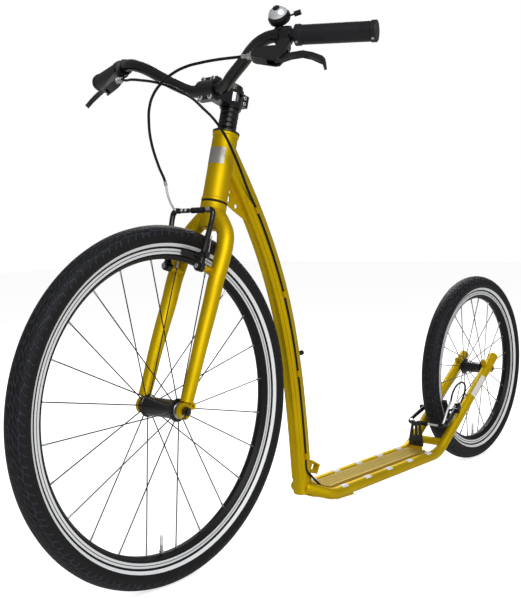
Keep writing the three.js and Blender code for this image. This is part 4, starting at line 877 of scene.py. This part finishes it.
def on_lever(side, inwards):
    spot = grip_start + (lever_way * adjuster_aside - bar_axis * inwards) * mm
    return on_side(side, spot)


for side, name in ((1, "left"), (-1, "right")):
    collar, neck, tip, end = (on_lever(side, a) for a in (49.3, 53, 58.2, adjuster_end))
    shape = bmesh.new()
    rod_into(shape, collar, neck, 6.5, sides=18)
    rod_into(shape, neck, tip, 5.5, sides=14)
    rod_into(shape, tip, end, 5.5, sides=14, end_radius=3.6)
    make_piece("barrel_screw_" + name, shape, [zinc], "steered", ["barrel_adjuster_" + name],
               crease=20)

bell_middle = bike(1035, 190, 990)
bell_axis = Vector((0.72, 0.25, 0.64)).normalized()
shape = bmesh.new()
dome = [[0, 17.7], [5.8, 17.3], [9.1, 15.9], [12.2, 13.8], [14.5, 11.1], [16.3, 7.8], [17.4, 4.5],
        [17.9, 1.2], [16.6, 1.2], [14.5, 8], [10.7, 12.6], [5.8, 14.9], [0, 15.3]]
skirt_height = 8
spin_into(shape, dome, bell_middle, bell_axis, steps=64, closed=False)
for face in shape.faces:
    if (face.calc_center_median() - bell_middle).dot(bell_axis) < skirt_height * mm:
        face.material_index = 1
spin_into(shape, [[0, 19], [5, 19], [6, 18.4], [6, 16.5], [0, 16.5]], bell_middle, bell_axis,
          index=1, closed=False)
make_piece("bell_cup", shape, [plated, shell_plastic], "steered", ["bell_dome"], crease=35)
print("bell", 2 * max(r for r, a in dome), "mm across")

# %% [markdown]
# The brake cables run in plastic housings that the bike holds at both ends. Each keeps close to
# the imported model's route and is drawn as one smooth curve. Places on a brake are counted in a
# frame of its own, along the fork in front and nearly along the stay at the rear.

# %% Brake frames and housings
def brake_frame(centre, out, towards, offset):
    sideways = towards.cross(out)
    return frame_of(centre + out * offset * mm, out, sideways, towards)


front_pivot, rear_pivot = 257, 180.5
front_cable_rise, rear_cable_rise = 362, 273.5
pivot_aside = 41.5
brake_turn = stay_slope - math.radians(12)
front_brake = brake_frame(front_axle, steer_forward, steer_up, 10)
rear_brake = brake_frame(
    rear_axle, Vector((math.sin(brake_turn), 0, math.cos(brake_turn))),
    Vector((math.cos(brake_turn), 0, -math.sin(brake_turn))), -5)
front_noodle = [(38.6, -41, 397.9), (28, -41.8, 381), (14.5, -43, 368.8), (5, -42.4, 362.8),
                (0, -37.5, front_cable_rise), (0, -4.3, front_cable_rise)]
rear_noodle = [(30, -45, 219), (22, -46, 238), (13, -46.8, 255), (5.5, -46.6, 267),
               (1, -43.6, 272.6), (0, -37.5, rear_cable_rise), (0, -4.3, rear_cable_rise)]


def on_brake(matrix, point):
    return matrix @ (Vector(point) * mm)


def mouth(matrix, noodle, distance):
    first, second = Vector(noodle[0]), Vector(noodle[1])
    return on_brake(matrix, first + (first - second).normalized() * distance)


def lever_exit(side, distance):
    return on_lever(side, adjuster_end + distance)


front_route = [(1090, 145, 924), (1108, 109, 922), (1120, 86, 919), (1130, 65, 915),
               (1138, 42, 907), (1144, 16, 892), (1146, -5, 873), (1144.5, -17, 853),
               (1139.5, -25, 832), (1128, -34, 800), (1107, -39.5, 757)]
rear_route = [(1089, -141, 920.5), (1093.5, -118, 918.5), (1098, -86, 913), (1099, -56, 907),
              (1097, -33, 900.5), (1091, -12, 892), (1083, 4, 882.5), (1073, 18, 872),
              (1059, 31, 854), (1045, 40, 838), (1024, 46, 812), (996, 44, 776), (970, 36.5, 747),
              (942, 26, 717)]

# %% [markdown]
# The long housing lies in the groove of the main tube, so its line follows that tube's own curve,
# then passes under the deck and loops up behind the stay to the rear brake. Four fine beads run
# down the tube's front, two on each side of its middle, drawn as thin tubes along the same curve.
# For the long housing a straight line 75 mm long runs up and back to its brake end. It points the
# way in which only the last 300 mm, mostly the free loop, lie beyond its start, and the knots that
# lie beyond that start are counted.

# %% The line in the groove
def main_tube_line(steps):
    def pulled(origin, angle, length):
        turn = math.radians(angle)
        return origin + Vector((math.cos(turn), 0, math.sin(turn))) * length * mm

    top = steer(-22, 0, head_length * 0.66)
    foot = bike(758, 0, 78)
    a, b = pulled(top, 236.3, 285), pulled(foot, 85.6, 315)
    line = []
    for step in range(steps + 1):
        t = step / steps
        line.append(top * (1 - t) ** 3 + a * 3 * t * (1 - t) ** 2 + b * 3 * t * t * (1 - t)
                    + foot * t ** 3)
    return line


tube_line = main_tube_line(200)
groove_ahead_share, tube_half_depth, groove_aside = 0.11, 21, 16.63
bead_radius, beads_end = 1.25, 96


def groove_point(height):
    index = next(i for i, p in enumerate(tube_line) if p.z <= height * mm)
    higher, lower = tube_line[index - 1], tube_line[index]
    share = (higher.z - height * mm) / (higher.z - lower.z)
    down = (lower - higher).normalized()
    back = Vector((down.z, 0, -down.x))
    spot = higher.lerp(lower, share) - back * groove_ahead_share * tube_half_depth * mm
    spot.y = groove_aside * mm
    return spot


shape = bmesh.new()
for aside, depth in ((14.5, 14.5), (8.7, 19.3)):
    for side in (1, -1):
        bead_line = []
        for before, spot in zip(tube_line[16::8], tube_line[17::8]):
            down = (spot - before).normalized()
            edge_spot = spot - Vector((down.z, 0, -down.x)) * depth * mm
            if edge_spot.z > beads_end * mm:
                bead_line.append(edge_spot + leftward * side * aside * mm)
        tube_into(shape, bead_line, [bead_radius] * len(bead_line), resolution=4)
make_piece("main_tube_beads", shape, [enamel], "frame", crease=60)

run_foot = [(753, 18.6, 115), (740, 19.6, 102), (727, 20.6, 90), (715, 22.2, 76.5), (703, 24.2, 66),
            (688, 25.6, 61.6), (660, 26, 61.2)]
run_stay = [(315, 26, 61.2), (288, 26.4, 62.6), (264, 27.4, 67), (246, 28, 71.5), (231, 28.3, 77),
            (218, 28.3, 85), (205, 28.3, 95.5), (160, 28.3, 139), (121, 28.3, 174.5),
            (109, 29.4, 190), (106, 31.4, 205), (113, 34.4, 219), (131, 38, 228), (154, 41, 229.6),
            (177, 43, 223.5), (195, 44.4, 210)]
housing_radius, ferrule_radius = 2.5, 3.1


def housing_piece(name, knots, node, ends, bend):
    shape = bmesh.new()
    tube_into(shape, knots, [housing_radius] * len(knots), resolution=10)
    for start, end in ends:
        rod_into(shape, start, end, ferrule_radius, index=1)
    make_piece(name, shape, [housing, zinc], body_of[node], [node], crease=45, bend=bend)
    length = sum((b - a).length for a, b in zip(knots, knots[1:]))
    print(name, "about", round(length, 3), "m")


front_knots = [lever_exit(1, 1), lever_exit(1, 8)] + [bike(*p) for p in front_route] + [
    mouth(front_brake, front_noodle, 8), mouth(front_brake, front_noodle, 1)]
housing_piece("front_housing", front_knots, "front_cable",
              [(lever_exit(1, 0.6), lever_exit(1, 9)),
               (mouth(front_brake, front_noodle, 0.6), mouth(front_brake, front_noodle, 9))],
              ("front_arm_right", mouth(front_brake, front_noodle, 70),
               mouth(front_brake, front_noodle, 9)))
loop_knots = [lever_exit(-1, 1), lever_exit(-1, 8)] + [bike(*p) for p in rear_route] + [
    groove_point(687.2)]
housing_piece("rear_housing_loop", loop_knots, "rear_cable_loop",
              [(lever_exit(-1, 0.6), lever_exit(-1, 9))],
              ("frame", lever_exit(-1, 20), groove_point(692)))
run_knots = [groove_point(686 - k * 558 / 17) for k in range(18)] + [
    bike(*p) for p in run_foot + run_stay] + [
    mouth(rear_brake, rear_noodle, 8), mouth(rear_brake, rear_noodle, 1)]
back_and_up = Vector((-1, 0.2, 1.15)).normalized()
run_end = mouth(rear_brake, rear_noodle, 9)
run_start = run_end - back_and_up * 75 * mm
housing_piece("rear_housing_run", run_knots, "rear_cable_run",
              [(mouth(rear_brake, rear_noodle, 0.6), mouth(rear_brake, rear_noodle, 9))],
              ("rear_arm_left", run_start, run_end))
in_the_bend = [p for p in run_knots if (p - run_start).dot(back_and_up) > 0]
print("knots in the bend", len(in_the_bend), "of", len(run_knots))

# %% [markdown]
# A noodle is a bent metal pipe that turns the cable into the brake arm, and a ribbed rubber boot
# covers the bare wire between the two arms. The boot is soft. The front noodle rests in a black
# cradle with two bright screws.

# %% Noodles and boots
def noodle_and_boot(name, matrix, noodle, radius):
    knots = [on_brake(matrix, p) for p in noodle]
    shape = bmesh.new()
    tube_into(shape, knots, [radius] * len(knots))
    make_piece(name + "_noodle_pipe", shape, [plated], body_of[name + "_noodle"],
               [name + "_noodle"])
    top = noodle[-1][2]
    ribs = []
    for k in range(8):
        ribs += [[4, -4 + 4 * k], [5.4, -3 + 4 * k], [5.4, -1.6 + 4 * k], [4, -0.6 + 4 * k]]
    profile = [[0, -4]] + ribs + [[4, 28], [1, 28], [1, 35.7], [0, 35.7]]
    origin = matrix @ Vector((0, 0, top * mm))
    shape = bmesh.new()
    spin_into(shape, profile, origin, matrix.to_3x3() @ leftward, steps=28, closed=False)
    boot = make_piece(name + "_ribbed_boot", shape, [boot_rubber], body_of[name + "_boot"],
                      [name + "_boot"], crease=50)
    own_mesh(boot)


noodle_and_boot("front", front_brake, front_noodle, 2.1)
on_cradle = lambda x, y: on_brake(front_brake, (x, y, front_cable_rise))
shape = bmesh.new()
for start, end, radius in ((-34, -31, 3.6), (-31, -11, 4.4), (-11, -8, 3.6)):
    rod_into(shape, on_cradle(0, start), on_cradle(0, end), radius)
for y in (-26, -16):
    rod_into(shape, on_cradle(3.4, y), on_cradle(5.2, y), 2.6, index=1)
make_piece("front_noodle_cradle", shape, [shell_plastic, plated], "front_arm_right", edge=0.4)
noodle_and_boot("rear", rear_brake, rear_noodle, 2.8)
print("noodles and boots done")

# %% [markdown]
# A brake arm is forged: a barrel that turns on its pivot, a slender stem and a head bent inwards
# over the tyre. A round curve whose radius changes gives the forging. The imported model's arm is
# a flat plate with the same places for the pivot, the pad's post and the cable. A thin spring wire
# runs up each arm. The rear brake's frame is turned about, so that its sides change over.

# %% Forged brake arms
def brake_arm(name, side_name, matrix, pivot, top, side):
    rise = (top - pivot) / 100
    spot = lambda x, y, z: on_brake(matrix, (x, side * (pivot_aside + y), pivot + z))
    line = [(0, 0), (20, 2.4), (45, 5.4), (70, 8.6), (87, 9.8), (96, 8.4), (100, 3), (100, -5.2)]
    shape = bmesh.new()
    tube_into(shape, [spot(0, y, z * rise) for z, y in line],
              [7.4, 6.2, 5.3, 4.9, 5, 5.3, 5.4, 5.4])
    rod_into(shape, spot(-5.5, 0, 0), spot(5.6, 0, 0), 8.6, sides=32)
    rod_into(shape, spot(0, -3.5, 22), spot(0, 10.6, 22), 6.4, sides=32)
    if side > 0:
        rod_into(shape, spot(4, 1, 100 * rise), spot(8.4, 1, 100 * rise), 4.2, sides=6, index=1)
    tube_into(shape, [spot(-5, 6, -6), spot(-5.2, 10, 8), spot(-4.6, 11, 34), spot(-3.6, 13, 58)],
              [0.9] * 4, index=1)
    node = f"{name}_arm_{side_name}"
    make_piece(node + "_forged", shape, [anodised, zinc], body_of[node], [node], edge=0.5)


for side, front_side, rear_side in ((1, "left", "right"), (-1, "right", "left")):
    brake_arm("front", front_side, front_brake, front_pivot, front_cable_rise, side)
    brake_arm("rear", rear_side, rear_brake, rear_pivot, rear_cable_rise, side)

# %% [markdown]
# Small bright patches of grip foil are wrapped over both rails beside the deck, and plain plates
# are on the head tube and the left stay. A bright plated plate on the stem's clamp is a painted
# highlight, standing for the light reflected from the clamp's side. Each is a thin shell bent about
# its tube's axis.

# %% Foil patches and plates
def curved_plate(shape, origin, axis, outward, radius, width, length):
    thickness = 0.35
    spread = width / radius
    first = outward.copy()
    first.rotate(Matrix.Rotation(-spread / 2, 3, axis))
    second = axis.cross(first)
    matrix = frame_of(origin - axis * length / 2 * mm, first, second, axis)
    part = bmesh.new()
    bmesh.ops.create_grid(part, x_segments=1, y_segments=1, size=0.5)
    scale = Matrix.Diagonal((thickness * mm, length * mm, 1, 1))
    bmesh.ops.transform(part, matrix=Matrix.Translation(
        ((radius + thickness / 2) * mm, length / 2 * mm, 0)) @ scale, verts=part.verts)
    bmesh.ops.transform(part, matrix=Matrix.Rotation(math.pi / 2, 4, "X"), verts=part.verts)
    bmesh.ops.spin(part, geom=part.verts[:] + part.edges[:] + part.faces[:], cent=(0, 0, 0),
                   axis=(0, 0, 1), angle=spread, steps=12)
    bmesh.ops.recalc_face_normals(part, faces=part.faces)
    bmesh.ops.transform(part, matrix=matrix, verts=part.verts)
    pour(part, shape, 0)


patch_places = (672, 583, 495, 406, 320)
on_rail_radius = 12.4
for side, name in ((1, "left"), (-1, "right")):
    shape = bmesh.new()
    for x in patch_places:
        curved_plate(shape, bike(x, side * rail_aside, rail_height), ahead, upward,
                     on_rail_radius, 19, 21)
    make_piece("rail_foils_" + name, shape, [foil], "frame")
shape = bmesh.new()
curved_plate(shape, steer(0, 0, 84), steer_up, (steer_forward + leftward * 0.12).normalized(),
             23.5, 41, 31)
make_piece("head_plate", shape, [badge], "frame")
# A bright plate on the stem's clamp: a painted highlight for the light the clamp reflects.
shape = bmesh.new()
curved_plate(shape, steer(0, 0, 199), steer_up, (steer_forward + leftward).normalized(),
             20.7, 13, 17)
make_piece("stem_painted_highlight", shape, [zinc], "steered")
shape = bmesh.new()
outer_side = (leftward * 0.86 + stay_up * 0.5).normalized()
curved_plate(shape, stay(82, rail_aside, rail_over_axle), stay_down, outer_side,
             on_rail_radius, 14, 74)
make_piece("stay_plate", shape, [foil], "frame")
print("foil patches", 2 * len(patch_places))

# %% [markdown]
# Four bright screws hold the stem's faceplate, two pinch the stem on the steerer, and a duller
# one is in each brake pivot. A screw is a short turned head with a round well in it.

# %% Screws
def screw_into(shape, head_face, axis, radius):
    well = radius * 0.5
    profile = [[0, -1.2], [well, -1.2], [well, 0], [radius * 0.86, 0], [radius, -0.5],
               [radius, -2.2], [0, -2.2]]
    spin_into(shape, profile, head_face, axis, steps=24, closed=False)


faceplate_front = clamp_ahead + 6.5 + 3.4
shape = bmesh.new()
for y in (-12, 12):
    for z in (-17, 17):
        screw_into(shape, steer(faceplate_front, y, clamp_height + z), steer_forward, 5.2)
for z in (199, 210):
    screw_into(shape, steer(-24, 11.6, z), leftward, 3.6)
make_piece("stem_screws", shape, [plated], "steered")
for name, matrix, pivot in (("front", front_brake, front_pivot), ("rear", rear_brake, rear_pivot)):
    carrier_body = "steered" if name == "front" else "frame"
    shape = bmesh.new()
    for y in (-pivot_aside, pivot_aside):
        rod_into(shape, on_brake(matrix, (5.7, y, pivot)), on_brake(matrix, (9.4, y, pivot)), 6.9,
                 index=1)
        screw_into(shape, on_brake(matrix, (11, y, pivot)), matrix.to_3x3() @ ahead, 4.6)
    make_piece(name + "_pivot_screws", shape, [zinc, lacquered], carrier_body)
print("screws", 10)

# %% [markdown]
# The studio is a pale floor, a sky that is white for the camera and dimmer as a light, and two
# large soft lamps. The floor brightens for the camera alone and still keeps the bike's shadow.

# %% Studio
floor_shape = bmesh.new()
bmesh.ops.create_grid(floor_shape, x_segments=1, y_segments=1, size=12)
floor_glow = 0.72
sky_as_light = 0.3
floor_mesh = bpy.data.meshes.new("studio_floor")
floor_shape.to_mesh(floor_mesh)
floor_shape.free()
floor = bpy.data.objects.new("studio_floor", floor_mesh)
floor.location.z = -0.0005
bpy.context.scene.collection.objects.link(floor)
floor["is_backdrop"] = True
paper = bpy.data.materials.new("pale_paper_floor")
paper.use_nodes = True
paper.node_tree.nodes.clear()
matt = add(paper, "BsdfDiffuse", {"Color": colour(0xE8E8E8)})
lit = add(paper, "Emission", {"Color": colour(0xFFFFFF), "Strength": floor_glow})
glowing = add(paper, "AddShader", {0: matt.outputs[0], 1: lit.outputs[0]})
path = add(paper, "LightPath", {})
both = add(paper, "MixShader", {
    0: path.outputs["Is Camera Ray"], 1: matt.outputs[0], 2: glowing.outputs[0]})
add(paper, "OutputMaterial", {"Surface": both.outputs[0]})
floor_mesh.materials.append(paper)

sky = bpy.data.worlds.new("studio_sky")
sky.use_nodes = True
sky.node_tree.nodes.clear()
path = add(sky, "LightPath", {})
seen = add(sky, "Math", {0: path.outputs["Is Camera Ray"], 1: path.outputs["Is Transmission Ray"]},
           operation="MAXIMUM")
strength = add(sky, "MapRange", {"Value": seen.outputs[0], "To Min": sky_as_light, "To Max": 1})
white = add(sky, "Background", {"Color": colour(0xFFFFFF), "Strength": strength.outputs[0]})
add(sky, "OutputWorld", {"Surface": white.outputs[0]})
bpy.context.scene.world = sky


def soft_lamp(name, place, aim, size, power):
    lamp = bpy.data.lights.new(name, "AREA")
    lamp.shape = "DISK"
    lamp.size = size
    lamp.energy = power
    holder = bpy.data.objects.new(name, lamp)
    holder.location = place
    holder.rotation_euler = (Vector(aim) - Vector(place)).to_track_quat("-Z", "Y").to_euler()
    bpy.context.scene.collection.objects.link(holder)


soft_lamp("key_lamp", (1.6, 2.6, 2.6), (0, 0, 0.4), 2.6, 92)
soft_lamp("rim_lamp", (-2.2, -1.8, 2.4), (0, 0, 0.4), 1.6, 50)
bpy.context.scene.view_settings.view_transform = "Standard"
print("studio ready")

# %% [markdown]
# The box of the visual model is printed; it should match the imported model's size.

# %% Sizes and finish
low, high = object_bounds()
print("visual box", [round(v, 4) for v in low], [round(v, 4) for v in high])
